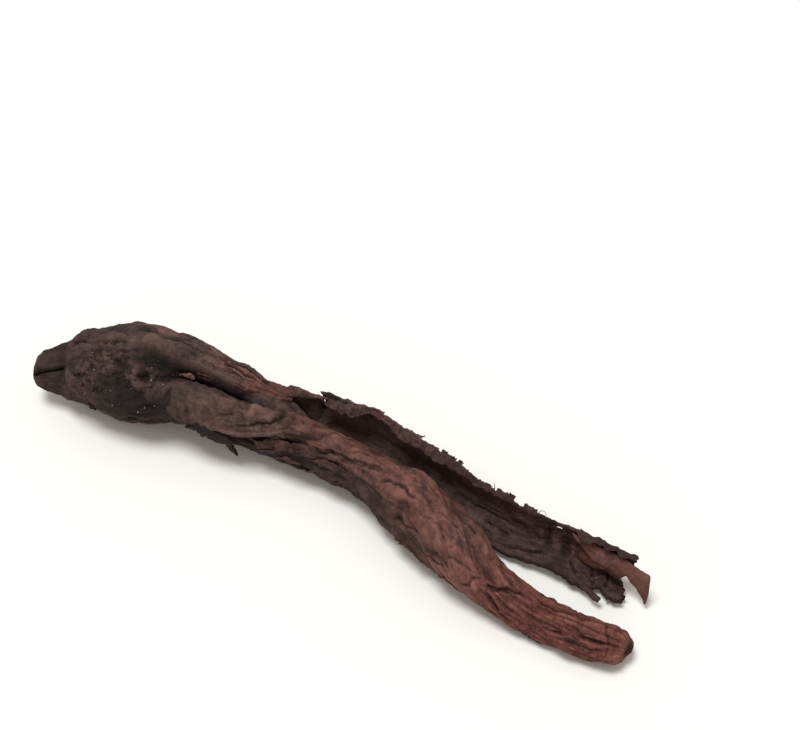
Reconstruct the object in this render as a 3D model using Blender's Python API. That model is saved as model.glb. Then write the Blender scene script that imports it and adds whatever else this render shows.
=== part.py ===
"""Dried gromwell root: one dark, twisted, forked root lying on a table.

A lumpy crown at -X splits lengthwise into strands round a deep cleft. The front half runs on as a
thick twisted cord. The rear half runs on as a thin trough of bark with a torn lip that curls in over
it, and ends in a torn scrap. It grew as one piece, so it is one solid, the object "root". +Z is up,
+X runs from the crown to the tips, and the origin is under the middle of the root, on the surface that
it lies on. Sizes here are in millimetres.
"""

import itertools
import math

import bpy
import numpy as np

MM = 0.001
SEED = 7
BARK_COLOUR = (0.052, 0.030, 0.024, 1.0)
BARK_ROUGHNESS = 0.85
SHARP_ANGLE = 50.0
# Radius in mm from which a body has its marks in full
FULL_MARKS = 2.5
SOLVER = "EXACT"

# Rings along each body and points round each ring
CROWN_GRID = (38, 33)
RIDGE_GRID = (24, 12)
ROLL_GRID = (27, 12)
CORD_GRID = (73, 26)
SHEET_GRID = (60, 15)
LEAF_COLUMNS = 4

# Each row is a station along a body: x, y and z of its middle, its half width and its half height
CROWN = (
    (-71.3, -4.9, 6.4, 0.4, 0.4),
    (-70.6, -4.5, 6.5, 2.4, 2.3),
    (-68.8, -3.3, 6.8, 3.9, 3.7),
    (-66.0, -1.7, 7.5, 5.4, 5.2),
    (-61.4, 0.1, 8.5, 7.6, 7.4),
    (-57.4, 1.4, 9.5, 9.0, 8.7),
    (-51.8, 2.4, 10.3, 10.3, 10.1),
    (-46.4, 3.9, 10.6, 11.0, 10.8),
    (-42.3, 5.2, 10.6, 10.4, 10.2),
    (-37.9, 6.2, 10.2, 9.4, 9.2),
    (-33.9, 6.5, 9.8, 8.4, 8.2),
    (-29.5, 6.7, 9.4, 7.4, 7.2),
    (-23.7, 6.8, 8.8, 6.4, 6.4),
    (-17.2, 6.6, 8.0, 5.5, 5.7),
    (-11.0, 6.2, 7.4, 4.2, 4.2),
    (-6.0, 5.8, 7.0, 0.5, 0.5),
)
RIDGE = (
    (-64.5, 0.4, 12.4, 0.4, 0.4),
    (-62.6, 1.3, 13.0, 2.8, 2.8),
    (-57.4, 4.2, 14.2, 3.9, 3.8),
    (-51.9, 6.6, 15.3, 4.3, 4.2),
    (-46.9, 8.3, 15.6, 4.3, 4.2),
    (-41.7, 8.8, 15.0, 4.0, 3.9),
    (-36.0, 8.9, 14.8, 3.9, 3.8),
    (-32.4, 9.0, 14.5, 3.5, 3.4),
    (-27.1, 9.2, 14.1, 3.0, 2.7),
    (-21.4, 8.9, 13.6, 2.3, 1.8),
    (-17.5, 9.4, 12.9, 1.5, 1.1),
    (-14.6, 9.9, 12.5, 0.4, 0.4),
)
ROLL = (
    (-42.0, 0.2, 11.4, 0.4, 0.4),
    (-40.3, 0.3, 12.0, 2.8, 2.8),
    (-36.9, 0.1, 12.0, 4.2, 4.2),
    (-31.9, 0.6, 11.5, 4.7, 4.6),
    (-27.4, 1.1, 11.0, 4.4, 4.2),
    (-23.0, 1.9, 10.6, 4.0, 3.7),
    (-17.1, 4.0, 10.2, 3.4, 3.0),
    (-11.4, 5.6, 10.2, 2.9, 2.6),
    (-4.0, 5.4, 10.0, 2.4, 2.2),
    (3.0, 5.0, 9.4, 0.5, 0.5),
)
CORD = (
    (-31.0, 1.8, 8.0, 0.4, 0.4),
    (-29.0, 1.8, 8.0, 2.6, 2.6),
    (-24.5, 2.4, 7.6, 4.0, 4.0),
    (-17.1, 3.9, 7.2, 4.9, 4.9),
    (-10.2, 4.6, 7.1, 5.3, 5.3),
    (-2.1, 4.4, 7.0, 5.1, 5.2),
    (3.5, 4.2, 7.1, 5.3, 5.3),
    (10.9, 2.2, 7.4, 6.1, 6.0),
    (19.8, -0.5, 7.8, 7.2, 7.0),
    (25.7, -3.4, 7.4, 6.9, 6.8),
    (31.4, -6.0, 6.8, 6.3, 6.2),
    (37.1, -8.7, 6.0, 5.5, 5.5),
    (42.5, -10.0, 5.2, 4.7, 4.7),
    (50.6, -11.0, 4.3, 4.3, 4.3),
    (58.0, -11.3, 3.8, 4.2, 4.2),
    (63.6, -11.1, 3.7, 4.1, 4.1),
    (67.4, -10.5, 3.7, 3.9, 3.8),
    (68.8, -10.4, 3.8, 3.6, 3.4),
    (69.7, -10.4, 3.9, 2.7, 2.5),
    (70.2, -10.5, 4.0, 1.4, 1.3),
    (70.5, -10.6, 4.1, 0.4, 0.4),
)
# Stations of the bark trough: x, y and z of the middle of its curve, the curve's radius, the angles of its
# lower and upper edge (0 points to the back, 90 up), its thickness and how far its lip flares out
SHEET = (
    (-24.0, 6.0, 7.6, 4.6, -110.0, 44.0, 2.6, 0.0),
    (-14.0, 6.4, 7.8, 6.0, -115.0, 46.0, 2.1, 0.2),
    (-6.0, 6.8, 7.8, 6.8, -120.0, 48.0, 1.7, 2.0),
    (2.0, 6.8, 7.5, 7.0, -122.0, 50.0, 1.5, 2.1),
    (10.0, 5.8, 7.45, 7.1, -120.0, 48.0, 1.4, 1.4),
    (18.0, 4.6, 7.5, 6.9, -115.0, 45.0, 1.3, 1.3),
    (26.0, 3.1, 8.1, 6.4, -110.0, 42.0, 1.2, 0.8),
    (34.0, 2.2, 8.2, 5.8, -104.0, 38.0, 1.2, 0.3),
    (42.0, 1.5, 8.2, 5.4, -100.0, 34.0, 1.2, 0.2),
    (50.0, 1.6, 8.1, 5.4, -100.0, 30.0, 1.1, 0.2),
    (58.0, 1.3, 7.9, 5.9, -102.0, 24.0, 1.0, 0.2),
    (64.5, 1.5, 7.6, 5.9, -100.0, 20.0, 1.0, 0.2),
)
# Leaves of torn bark: the points of one edge and those of the other
SCRAP = (
    ((50.7, 6.6, 9.8), (53.7, 6.4, 9.5), (56.4, 6.2, 9.0), (59.0, 6.0, 8.9), (61.5, 5.8, 9.0),
     (63.3, 5.6, 8.7), (64.0, 5.5, 8.5), (65.3, 5.5, 7.7), (66.7, 5.4, 7.4), (68.5, 5.0, 7.3),
     (68.8, 4.0, 4.1), (68.8, 2.6, 1.5)),
    ((51.6, 5.6, 9.3), (54.0, 4.6, 8.6), (56.4, 4.0, 6.6), (58.9, 3.8, 6.1), (61.4, 3.6, 5.5),
     (63.1, 3.7, 5.2), (63.8, 4.0, 6.0), (64.8, 3.8, 4.6), (66.3, 3.5, 3.8), (67.8, 2.7, 2.7),
     (68.5, 2.4, 2.1), (68.6, 2.3, 1.4)),
)
HANGING_FLAKE = (
    ((-33.1, -3.7, 8.9), (-30.0, -3.9, 11.5), (-27.9, -3.7, 11.4), (-25.9, -3.5, 11.0), (-23.8, -3.1, 10.3),
     (-22.5, -2.7, 8.9), (-22.4, -2.4, 6.2), (-21.6, -2.3, 4.0)),
    ((-32.7, -4.0, 8.8), (-30.2, -4.3, 9.5), (-28.9, -4.2, 8.3), (-27.1, -4.0, 8.1), (-25.5, -3.5, 7.2),
     (-24.0, -2.9, 6.5), (-23.4, -2.6, 4.8), (-21.8, -2.5, 3.6)),
)
RIM_FLAKE = (
    ((-8.9, 12.7, 14.8), (-7.1, 12.9, 15.8), (-5.5, 12.9, 15.5), (-4.5, 12.9, 14.6), (-2.9, 12.9, 15.2),
     (-1.8, 12.7, 14.8)),
    ((-8.6, 12.5, 14.2), (-7.9, 12.4, 12.9), (-6.6, 12.2, 12.5), (-5.3, 12.0, 12.4), (-3.7, 12.0, 12.6),
     (-2.1, 12.1, 13.1)),
)
LIP_STRIP = (
    ((-23.7, 10.4, 16.0), (-21.3, 10.6, 14.9), (-18.2, 10.9, 14.9), (-16.6, 11.0, 14.6), (-15.4, 11.4, 15.5),
     (-12.6, 11.8, 15.0), (-10.8, 12.0, 14.4), (-8.8, 12.3, 14.3), (-7.2, 12.5, 14.6)),
    ((-23.4, 8.6, 13.4), (-20.8, 8.8, 13.0), (-18.7, 9.2, 13.0), (-16.5, 9.6, 12.9), (-14.4, 10.2, 13.2),
     (-12.3, 10.8, 13.6), (-10.6, 11.4, 13.4), (-9.0, 11.9, 13.7), (-7.4, 12.3, 13.9)),
)
CURLED_STRIP = (
    ((51.0, 2.6, 2.8), (53.0, 1.8, 1.7), (55.5, 0.8, 2.4), (57.4, 0.2, 3.1), (59.1, -0.8, 3.1),
     (60.8, -1.3, 2.8)),
    ((51.4, 2.0, 2.2), (53.5, 1.4, 1.0), (55.8, 0.3, 1.3), (57.6, -0.5, 1.5), (59.3, -1.4, 1.5),
     (60.4, -1.8, 1.7)),
)
BARK_EDGE = (
    ((-29.1, -3.3, 12.0), (-26.0, -3.1, 12.0), (-23.7, -2.6, 11.5), (-20.8, -1.8, 11.5), (-17.6, -0.6, 11.8),
     (-15.0, 1.0, 11.6), (-12.7, 2.6, 12.0)),
    ((-28.8, -3.8, 12.0), (-25.3, -4.0, 11.9), (-23.0, -3.4, 11.2), (-20.4, -2.6, 11.1), (-17.3, -1.2, 11.1),
     (-14.9, 0.4, 10.8), (-13.0, 2.2, 11.2)),
)
TOP_FLAKE = (
    ((-31.8, 9.6, 18.3), (-28.6, 10.6, 17.3), (-25.8, 11.2, 17.1), (-23.8, 11.0, 16.4), (-22.0, 10.8, 15.6),
     (-20.4, 10.4, 14.7)),
    ((-30.9, 9.2, 17.9), (-27.9, 9.8, 17.1), (-25.6, 10.4, 16.6), (-23.9, 10.2, 15.8), (-22.1, 10.0, 15.2),
     (-20.2, 9.8, 14.5)),
)
# Name, edges, thickness and bow of each leaf
LEAVES = (
    ("scrap", SCRAP, 0.7, 0.25),
    ("hanging_flake", HANGING_FLAKE, 0.8, 0.2),
    ("rim_flake", RIM_FLAKE, 0.65, 0.1),
    ("lip_strip", LIP_STRIP, 0.7, 0.25),
    ("curled_strip", CURLED_STRIP, 0.7, 0.4),
    ("bark_edge", BARK_EDGE, 0.7, 0.3),
    ("top_flake", TOP_FLAKE, 0.65, 0.2),
)
# Length of the trough's curled lip along the root, and the radius of its curl
LIP = ((0.0, 0.3), (14.0, 0.3), (16.5, 3.2), (22.0, 3.6), (26.5, 2.4), (31.0, 2.0), (34.0, 3.4), (44.0, 2.8),
       (50.0, 2.2), (58.0, 1.4), (62.0, 0.5), (74.0, 0.5), (77.0, 2.4), (86.0, 2.2), (100.0, 1.6))
LIP_CURL = 2.6
LIP_SHORTEST = 0.7
TROUGH_WIDTH = 13.0

# Cracks: depth, width, height of the step beside it (negative for the side of smaller angles) and the places
# that it runs through, each a distance along the body and an angle round it. None is narrower than
# NARROWEST_CRACK, and those on the strands are deepened, because the points there lie far apart
NARROWEST_CRACK = 1.5
DEEPENED = 1.4
CROWN_VALLEYS = (
    (0.6, 2.2, 0.0, (9.6, 40), (9.2, 60), (8.7, 82), (8.4, 104), (8.9, 134), (9.4, 159),
     (10.6, 174), (11.4, 200), (11.8, 240)),
    (1.6, 2.8, 0.0, (21.5, 108), (27.6, 105), (31.0, 107), (35.0, 106), (39.0, 108), (43.0, 112)),
    (4.4, 3.2, 0.0, (31.0, 126), (36.0, 117), (39.4, 113), (42.3, 113), (45.4, 113), (49.2, 114), (52.0, 112)),
)
CROWN_CRACKS = (
    (1.4, 0.9, 0.0, (-2.5, 124), (0.4, 116), (2.4, 108), (3.6, 112), (5.6, 117), (7.6, 120), (9.0, 121)),
    (0.7, 0.6, 0.2, (11.6, 80), (13.0, 84), (14.7, 87), (15.8, 90)),
    (0.8, 0.8, 0.2, (11.8, 134), (13.0, 139), (14.1, 141), (16.0, 140), (17.4, 144)),
    (1.2, 1.1, 0.0, (30.0, 135), (32.5, 130), (34.5, 126), (37.0, 119)),
    (0.5, 0.9, 0.2, (20.0, 165), (23.0, 170), (26.0, 163), (28.0, 158)),
    (0.5, 0.9, -0.2, (26.0, 172), (29.0, 168), (32.0, 166)),
    (0.5, 0.8, 0.2, (18.5, 96), (20.0, 93), (22.5, 92), (24.0, 95)),
    (0.5, 0.8, 0.2, (22.4, 103), (24.1, 104), (25.6, 102), (27.0, 98)),
    (0.5, 0.8, 0.2, (14.0, 210), (19.0, 214), (25.0, 208), (31.0, 214)),
    (0.6, 0.9, -0.2, (16.0, 262), (24.0, 268), (33.0, 262)),
    (0.5, 0.8, 0.2, (12.0, 322), (20.0, 330), (30.0, 324), (40.0, 332)),
    (0.6, 0.9, 0.2, (14.0, 20), (22.0, 14), (31.0, 22), (42.0, 16)),
    (0.5, 0.8, -0.2, (18.0, 50), (27.0, 55), (35.0, 48)),
)
# Bumps and dents: the place along and round the body, the radius and the height
CROWN_BUMPS = (
    (27.8, 127, 2.3, 1.1),
    (29.4, 141, 1.5, 0.8),
    (24.4, 144, 2.2, -1.5),
    (22.0, 150, 1.4, -0.7),
    (27.2, 90, 4.0, 0.5),
    (12.4, 150, 2.2, 0.4),
    (12.8, 172, 2.4, 0.4),
    (23.0, 168, 2.6, 0.5),
    (17.4, 124, 2.2, 0.5),
    (20.5, 112, 2.2, 0.5),
    (18.2, 146, 1.8, 0.5),
    (25.6, 118, 1.4, 0.5),
    (31.5, 146, 1.8, 0.5),
)
RIDGE_CRACKS = (
    (0.9, 0.5, -0.4, (35.6, 92), (37.1, 94), (39.7, 88), (42.2, 88), (44.7, 74)),
    (0.7, 0.4, -0.4, (38.0, 112), (39.2, 110), (41.8, 106)),
    (0.6, 0.4, 0.3, (33.2, 78), (35.0, 70), (36.4, 74), (38.0, 66)),
)
ROLL_CRACKS = (
    (0.35, 0.9, 0.1, (4.2, 60), (4.5, 100), (4.6, 130), (4.6, 160), (4.8, 200), (5.4, 240)),
    (0.35, 0.9, 0.1, (7.4, 84), (7.6, 108), (7.8, 137), (9.5, 166), (10.8, 190)),
    (0.50, 0.6, -0.75, (9.5, 214), (13.3, 198), (15.4, 183), (20.2, 179), (23.0, 175), (26.3, 169),
     (29.5, 154), (33.0, 140)),
    (0.90, 1.1, -0.6, (29.6, 66), (28.8, 87), (27.7, 116), (26.2, 130), (24.0, 136), (21.6, 139)),
    (0.40, 0.6, 0.2, (15.0, 138), (15.8, 129), (17.6, 118), (19.0, 112)),
    (0.40, 0.5, 0.2, (19.2, 150), (22.0, 140), (24.6, 138)),
    (0.45, 0.5, 0.2, (22.6, 60), (24.4, 66), (26.6, 56), (28.2, 60)),
)
ROLL_BUMPS = (
    (22.6, 70, 1.5, 0.7),
    (21.4, 98, 1.2, 0.6),
    (24.6, 82, 1.2, 0.5),
    (26.0, 104, 1.6, 0.5),
)
CORD_CRACKS = (
    (1.1, 1.2, -0.5, (9.0, 160), (10.5, 163), (16.5, 150), (22.0, 128), (24.5, 118)),
    (0.9, 0.9, 0.4, (14.0, 176), (18.4, 164), (23.3, 148), (28.6, 125), (32.2, 119), (34.6, 121), (39.2, 112),
     (42.2, 101), (45.4, 99)),
    (0.8, 0.6, -0.3, (43.8, 116), (44.9, 112), (46.8, 108), (48.6, 105), (50.3, 107), (52.2, 108), (54.0, 102)),
    (0.7, 2.4, 0.0, (50.6, 116), (52.1, 127), (52.8, 153), (54.0, 165)),
    (0.6, 0.6, 0.2, (70.6, 158), (71.8, 149), (72.1, 131), (73.0, 118)),
    (1.0, 0.9, 0.3, (73.6, 138), (75.0, 128), (76.6, 118), (78.3, 101), (79.9, 94), (82.0, 88)),
    (0.8, 0.8, 0.4, (74.6, 138), (76.2, 146), (79.2, 172), (81.6, 192)),
    (0.7, 0.8, -0.3, (85.4, 80), (86.8, 79), (88.6, 84), (90.2, 76), (92.4, 68)),
    (0.6, 0.6, 0.2, (87.4, 148), (88.6, 146), (90.4, 148), (92.6, 146)),
    (0.9, 0.9, 0.2, (90.8, 118), (92.3, 117), (94.1, 118), (95.8, 128), (98.9, 124), (101.6, 122)),
    (0.6, 0.6, 0.2, (93.4, 160), (94.6, 158), (97.6, 156), (100.6, 152)),
    (0.7, 0.7, -0.4, (18.0, 190), (24.0, 186), (30.0, 190), (38.0, 184), (44.0, 190)),
    (0.6, 0.6, 0.3, (10.0, 150), (14.7, 152), (19.0, 140), (23.0, 130)),
    (0.7, 0.7, 0.3, (20.0, 230), (32.0, 240), (46.0, 226), (58.0, 236)),
    (0.7, 0.7, -0.3, (22.0, 290), (36.0, 280), (52.0, 296), (66.0, 306)),
    (0.6, 0.6, 0.3, (66.0, 222), (76.0, 236), (88.0, 244), (98.0, 240)),
    (0.6, 0.7, 0.3, (70.0, 330), (80.0, 344), (92.0, 350), (100.0, 346)),
    (0.6, 0.6, -0.3, (78.0, 24), (86.0, 30), (95.0, 26), (101.0, 30)),
)
CORD_BUMPS = (
    (49.0, 134, 4.0, 0.5),
    (57.5, 104, 4.0, 0.4),
    (30.0, 84, 3.0, 0.4),
    (79.5, 140, 3.0, 0.4),
    (96.5, 96, 2.4, 0.3),
    (101.8, 120, 1.6, -0.7),
    (101.0, 60, 1.8, 0.5),
    (101.4, 170, 1.6, 0.5),
)
# The same along and across the inside of the trough, from its lower edge at 0 to its lip at 1
TROUGH_CRACKS = (
    (0.6, 0.7, 0.3, (62.0, 0.10), (65.0, 0.14), (68.7, 0.19), (71.3, 0.27)),
    (0.9, 1.1, -0.3, (70.2, 0.78), (70.6, 0.62), (70.8, 0.46), (71.2, 0.26)),
    (1.2, 1.8, 0.0, (74.0, 0.74), (74.4, 0.58), (74.7, 0.44), (75.0, 0.30)),
    (0.6, 0.7, 0.2, (76.0, 0.34), (78.0, 0.22), (80.0, 0.14)),
    (0.6, 0.6, 0.3, (81.0, 0.44), (81.6, 0.30), (82.6, 0.12), (83.0, 0.04)),
    (0.6, 0.6, 0.2, (84.6, 0.42), (85.2, 0.24), (85.0, 0.08)),
)



def lattice_directions(cell, seed):
    """One of twelve edge directions for each lattice corner, always the same for the same corner and seed."""
    steps = itertools.product((-1, 0, 1), repeat=3)
    edges = np.array([d for d in steps if sum(map(abs, d)) == 2])
    mixed = (cell[:, 0] * 73856093) ^ (cell[:, 1] * 19349663) ^ (cell[:, 2] * 83492791)
    for _ in range(2):
        mixed = ((mixed ^ (mixed >> 9)) * 1103515245 + 12345 + seed * 7919) & 0x7FFFFFFF
    return edges[(mixed >> 8) % len(edges)]


def noise(points, seed):
    """Smooth random field, about -1 to 1, at an array of points."""
    cell = np.floor(points).astype(np.int64)
    inside = points - cell
    fade = inside**3 * (inside * (inside * 6 - 15) + 10)
    total = np.zeros(len(points))
    for corner in itertools.product((0, 1), repeat=3):
        corner = np.array(corner)
        weight = np.prod(np.where(corner, fade, 1 - fade), axis=1)
        slope = lattice_directions(cell + corner, seed)
        total += weight * np.sum(slope * (inside - corner), axis=1)
    return total


def cloud(points, octaves, seed):
    """Noise with finer and fainter copies of itself added."""
    return sum(noise(points * 2**i, seed + 31 * i) / 2**i for i in range(octaves))


def along_line(s, pitch, seed):
    """Random field along a line, with bumps about pitch apart."""
    return noise(np.stack([s / pitch, s * 0, s * 0], axis=1), seed)


def near(value, middle, width):
    """A bump of height 1 round middle."""
    return np.exp(-(((value - middle) / width) ** 2))


def rise(value, start, width):
    """0 before start, 1 from start + width on."""
    t = np.clip((value - start) / width, 0, 1)
    return t * t * (3 - 2 * t)


def mix(first, second, share):
    return first * (1 - share) + second * share


def groove(value, width):
    """1 along the lines where value is 0, falling to 0 at width from them."""
    return np.clip(1 - np.abs(value) / width, 0, 1)


def angle_near(angle, degrees, width):
    """A bump of height 1 round an angle, with its width in degrees."""
    off = (angle - np.radians(degrees) + math.pi) % (2 * math.pi) - math.pi
    return np.exp(-((off / math.radians(width)) ** 2))


def smooth_rows(rows, count, ease=0.0):
    """A table's columns read off a smooth curve through its rows at count places, and the distance to each.
    The curve never swings past a row, and ease crowds the places at the ends."""
    rows = np.array(rows)
    step = np.linalg.norm(np.diff(rows[:, :3], axis=0), axis=1)
    place = np.concatenate([[0], np.cumsum(step)])
    secant = np.diff(rows, axis=0) / step[:, None]
    total, product = secant[:-1] + secant[1:], secant[:-1] * secant[1:]
    inner = np.where(product > 0, 2 * product / np.where(total == 0, 1, total), 0)
    slope = np.concatenate([secant[:1], inner, secant[-1:]])
    even = np.linspace(0, 1, count)
    wanted = place[-1] * (even - ease * np.sin(2 * math.pi * even) / (2 * math.pi))
    k = np.clip(np.searchsorted(place, wanted) - 1, 0, len(place) - 2)
    gap = (place[k + 1] - place[k])[:, None]
    t = (wanted - place[k])[:, None] / gap
    ends = (1 + 2 * t) * (1 - t) ** 2 * rows[k] + t * t * (3 - 2 * t) * rows[k + 1]
    bends = t * (1 - t) ** 2 * slope[k] - t * t * (1 - t) * slope[k + 1]
    return wanted, ends + gap * bends


def section_axes(centres):
    """For each point of a centreline, the directions to the back and up across it."""
    along = np.gradient(centres, axis=0)
    along /= np.linalg.norm(along, axis=1)[:, None]
    back = np.cross([0, 0, 1], along)
    back /= np.linalg.norm(back, axis=1)[:, None]
    return back, np.cross(along, back)


def tube(rows, grid, relief, placed, ease=0.3):
    """Points of a closed body round a centreline, as an array of rings. relief(s, angle) is the share of the
    body's radius at the distance s along it and the angle round it, 0 at the back and 90 degrees on top.
    placed(s, angle, radius) is the height in mm of the cracks and lumps there."""
    rings, sides = grid
    s, station = smooth_rows(rows, rings, ease)
    back, up = section_axes(station[:, :3])
    around = np.linspace(0, 2 * math.pi, sides, endpoint=False)
    s_all, angle = (a.ravel() for a in np.meshgrid(s, around, indexing="ij"))
    radius = np.repeat((station[:, 3] + station[:, 4]) / 2, sides)
    share = relief(s_all, angle).reshape(rings, sides, 1)
    raised = (np.clip(radius / FULL_MARKS, 0, 1) * placed(s_all, angle, radius)).reshape(rings, sides, 1)
    angle = angle.reshape(rings, sides, 1)
    outward = back[:, None] * np.cos(angle) + up[:, None] * np.sin(angle)
    across = back[:, None] * station[:, 3].reshape(-1, 1, 1) * np.cos(angle)
    across = across + up[:, None] * station[:, 4].reshape(-1, 1, 1) * np.sin(angle)
    return station[:, None, :3] + across * share + outward * raised


def lobes(angle, turned, strands):
    """The outline of round strands side by side, as a share of the radius. Each strand is its angle (degrees),
    its distance from the middle and its radius."""
    found = np.full(len(angle), 0.3)
    for where, away, radius in strands:
        off = angle - math.radians(where) - turned
        across = np.maximum(radius**2 - (away * np.sin(off)) ** 2, 1e-4)
        found = np.maximum(found, away * np.cos(off) + np.sqrt(across))
    return found


def skin(s, angle, turned, per_turn, per_mm):
    """Noise coordinates on a strand's skin, which follow its twist. per_turn sets how fine they are."""
    a = angle - turned
    return np.stack([np.cos(a) * per_turn, np.sin(a) * per_turn, s * per_mm], axis=1)


def round_skin(s, angle, radius):
    """Noise coordinates in mm, so that lumps are as long as they are wide."""
    return np.stack([s, np.cos(angle) * radius, np.sin(angle) * radius], axis=1)


def offset(across, middle, wrap):
    """The distance from middle, the short way round where wrap isn't 0."""
    off = across - middle
    return (off + wrap / 2) % wrap - wrap / 2 if wrap else off


def cracks(s, across, scale, table, wrap):
    """The height in mm that a table of cracks adds at each place. scale is the width in mm of one unit of
    across."""
    total = np.zeros(len(s))
    for depth, width, step, *line in table:
        width = max(width, NARROWEST_CRACK)
        line = np.array(line)
        reach = 3.0 + width
        pick = np.nonzero((s > line[:, 0].min() - reach) & (s < line[:, 0].max() + reach))[0]
        best = np.full(len(pick), 1e9)
        side, share = np.zeros(len(pick)), np.zeros(len(pick))
        for k, ((s0, a0), (s1, a1)) in enumerate(itertools.pairwise(line)):
            x, y = s[pick] - s0, offset(across[pick], a0, wrap) * scale[pick]
            dx, dy = s1 - s0, (a1 - a0) * scale[pick]
            t = np.clip((x * dx + y * dy) / (dx * dx + dy * dy), 0, 1)
            gap = np.hypot(x - t * dx, y - t * dy)
            better = gap < best
            side = np.where(better, np.sign(dx * y - dy * x), side)
            share = np.where(better, (k + t) / (len(line) - 1), share)
            best = np.minimum(best, gap)
        taper = np.clip(5 * np.minimum(share, 1 - share), 0, 1)
        cut = depth * rise(1 - best / width, 0, 1)
        lift = abs(step) * (side == math.copysign(1, step)) * np.exp(-best / 1.6)
        total[pick] += taper * (lift - cut)
    return total


def bumps(s, across, scale, table, wrap):
    """The height in mm that a table of bumps and dents adds: each is its place, radius and height."""
    total = np.zeros(len(s))
    for where, angle, radius, height in table:
        away = np.hypot(s - where, offset(across, angle, wrap) * scale)
        total += height * np.exp(-((away / radius) ** 2))
    return total


def marks(s, angle, radius, crack_table, bump_table, seed):
    """A body's placed cracks and bumps, with wavy lines instead of straight ones."""
    scale = np.maximum(radius, 1.0) * math.pi / 180
    spots = round_skin(s, angle, radius)
    s = s + 0.5 * cloud(spots * 0.45, 2, seed)
    degrees = np.degrees(angle) + 0.5 * cloud(spots * 0.45, 2, seed + 1) / scale
    cut = DEEPENED * cracks(s, degrees, scale, crack_table, 360.0)
    return cut + bumps(s, degrees, scale, bump_table, 360.0)


def crown_relief(s, angle):
    tip = lobes(angle, 0.0, ((42, 0.38, 0.66), (222, 0.38, 0.66)))
    trunk = lobes(angle, 0.0, ((70, 0.34, 0.69), (168, 0.34, 0.69), (250, 0.28, 0.75), (338, 0.32, 0.70)))
    share = mix(tip, trunk, rise(s, 7.0, 4.0)) + 0.06 * cloud(skin(s, angle, 0.0, 1.6, 0.12), 2, SEED)
    share += 0.07 * cloud(skin(s, angle, 0.0, 2.6, 0.20), 2, SEED + 1)
    away = 1 - angle_near(angle, 128, 62)
    return share - 0.10 * rise(s, 12, 8) * away * groove(noise(skin(s, angle, 0.0, 2.4, 0.07), SEED + 2), 0.2)


def crumb_share(s, angle):
    """1 where the front of the crown is crumbled, 0 away from it."""
    degrees = np.degrees(angle)
    return rise(s, 10, 10) * (1 - rise(s, 29, 12)) * rise(degrees, 88, 26) * (1 - rise(degrees, 146, 34))


def crown_marks(s, angle, radius):
    spots = round_skin(s, angle, radius)
    crumb = crumb_share(s, angle)
    height = marks(s, angle, radius, CROWN_CRACKS, CROWN_BUMPS, SEED + 70)
    height += cracks(s, np.degrees(angle), np.maximum(radius, 1.0) * math.pi / 180, CROWN_VALLEYS, 360.0)
    return height + 0.30 * cloud(spots * 0.30, 2, SEED + 72) + 0.75 * crumb * cloud(spots * 0.36, 2, SEED + 73)


def ridge_relief(s, angle):
    share = 1 + 0.10 * cloud(skin(s, angle, 0.0, 1.3, 0.10), 2, SEED + 6)
    return share - 0.08 * groove(noise(skin(s, angle, 0.0, 1.8, 0.07), SEED + 16), 0.25)


def ridge_marks(s, angle, radius):
    return marks(s, angle, radius, RIDGE_CRACKS, (), SEED + 75)


def roll_relief(s, angle):
    share = 1 + 0.08 * cloud(skin(s, angle, 0.0, 1.2, 0.10), 2, SEED + 7)
    return share + 0.05 * cloud(skin(s, angle, 0.0, 2.2, 0.20), 2, SEED + 17)


def roll_marks(s, angle, radius):
    return marks(s, angle, radius, ROLL_CRACKS, ROLL_BUMPS, SEED + 78)


def cord_turn(s):
    """How far the cord has twisted at s, in radians."""
    return math.radians(95) * rise(s, 52, 34) + 0.005 * s


def cord_relief(s, angle):
    turned = cord_turn(s)
    share = lobes(angle, turned, ((84, 0.28, 0.75), (196, 0.26, 0.77), (310, 0.28, 0.73)))
    soft = skin(s, angle, turned, 1.3, 0.075)
    lines = skin(s, angle, turned, 2.6, 0.05)
    share += 0.09 * cloud(soft, 2, SEED + 3) + 0.09 * cloud(skin(s, angle, turned, 2.2, 0.20), 2, SEED + 4)
    end = rise(s, 80, 12)
    return share - (0.04 + 0.05 * end) * groove(noise(lines, SEED + 5), 0.25)


def cord_marks(s, angle, radius):
    return marks(s, angle, radius, CORD_CRACKS, CORD_BUMPS, SEED + 81)


def mesh_object(points, faces, name):
    mesh = bpy.data.meshes.new(name)
    mesh.from_pydata((np.asarray(points) * MM).tolist(), [], faces)
    mesh.update()
    made = bpy.data.objects.new(name, mesh)
    bpy.context.scene.collection.objects.link(made)
    return made


def solid_tube(rings, name):
    """An object from a stack of rings, closed at each end by a fan."""
    count, sides, _ = rings.shape
    points = np.concatenate([rings.reshape(-1, 3), [rings[0].mean(axis=0), rings[-1].mean(axis=0)]])
    faces = []
    for i in range(count - 1):
        for j in range(sides):
            a, b = i * sides + j, i * sides + (j + 1) % sides
            faces.append((a, b, b + sides, a + sides))
    last = (count - 1) * sides
    for j in range(sides):
        k = (j + 1) % sides
        faces.append((count * sides, k, j))
        faces.append((count * sides + 1, last + j, last + k))
    return mesh_object(points, faces, name)


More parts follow.
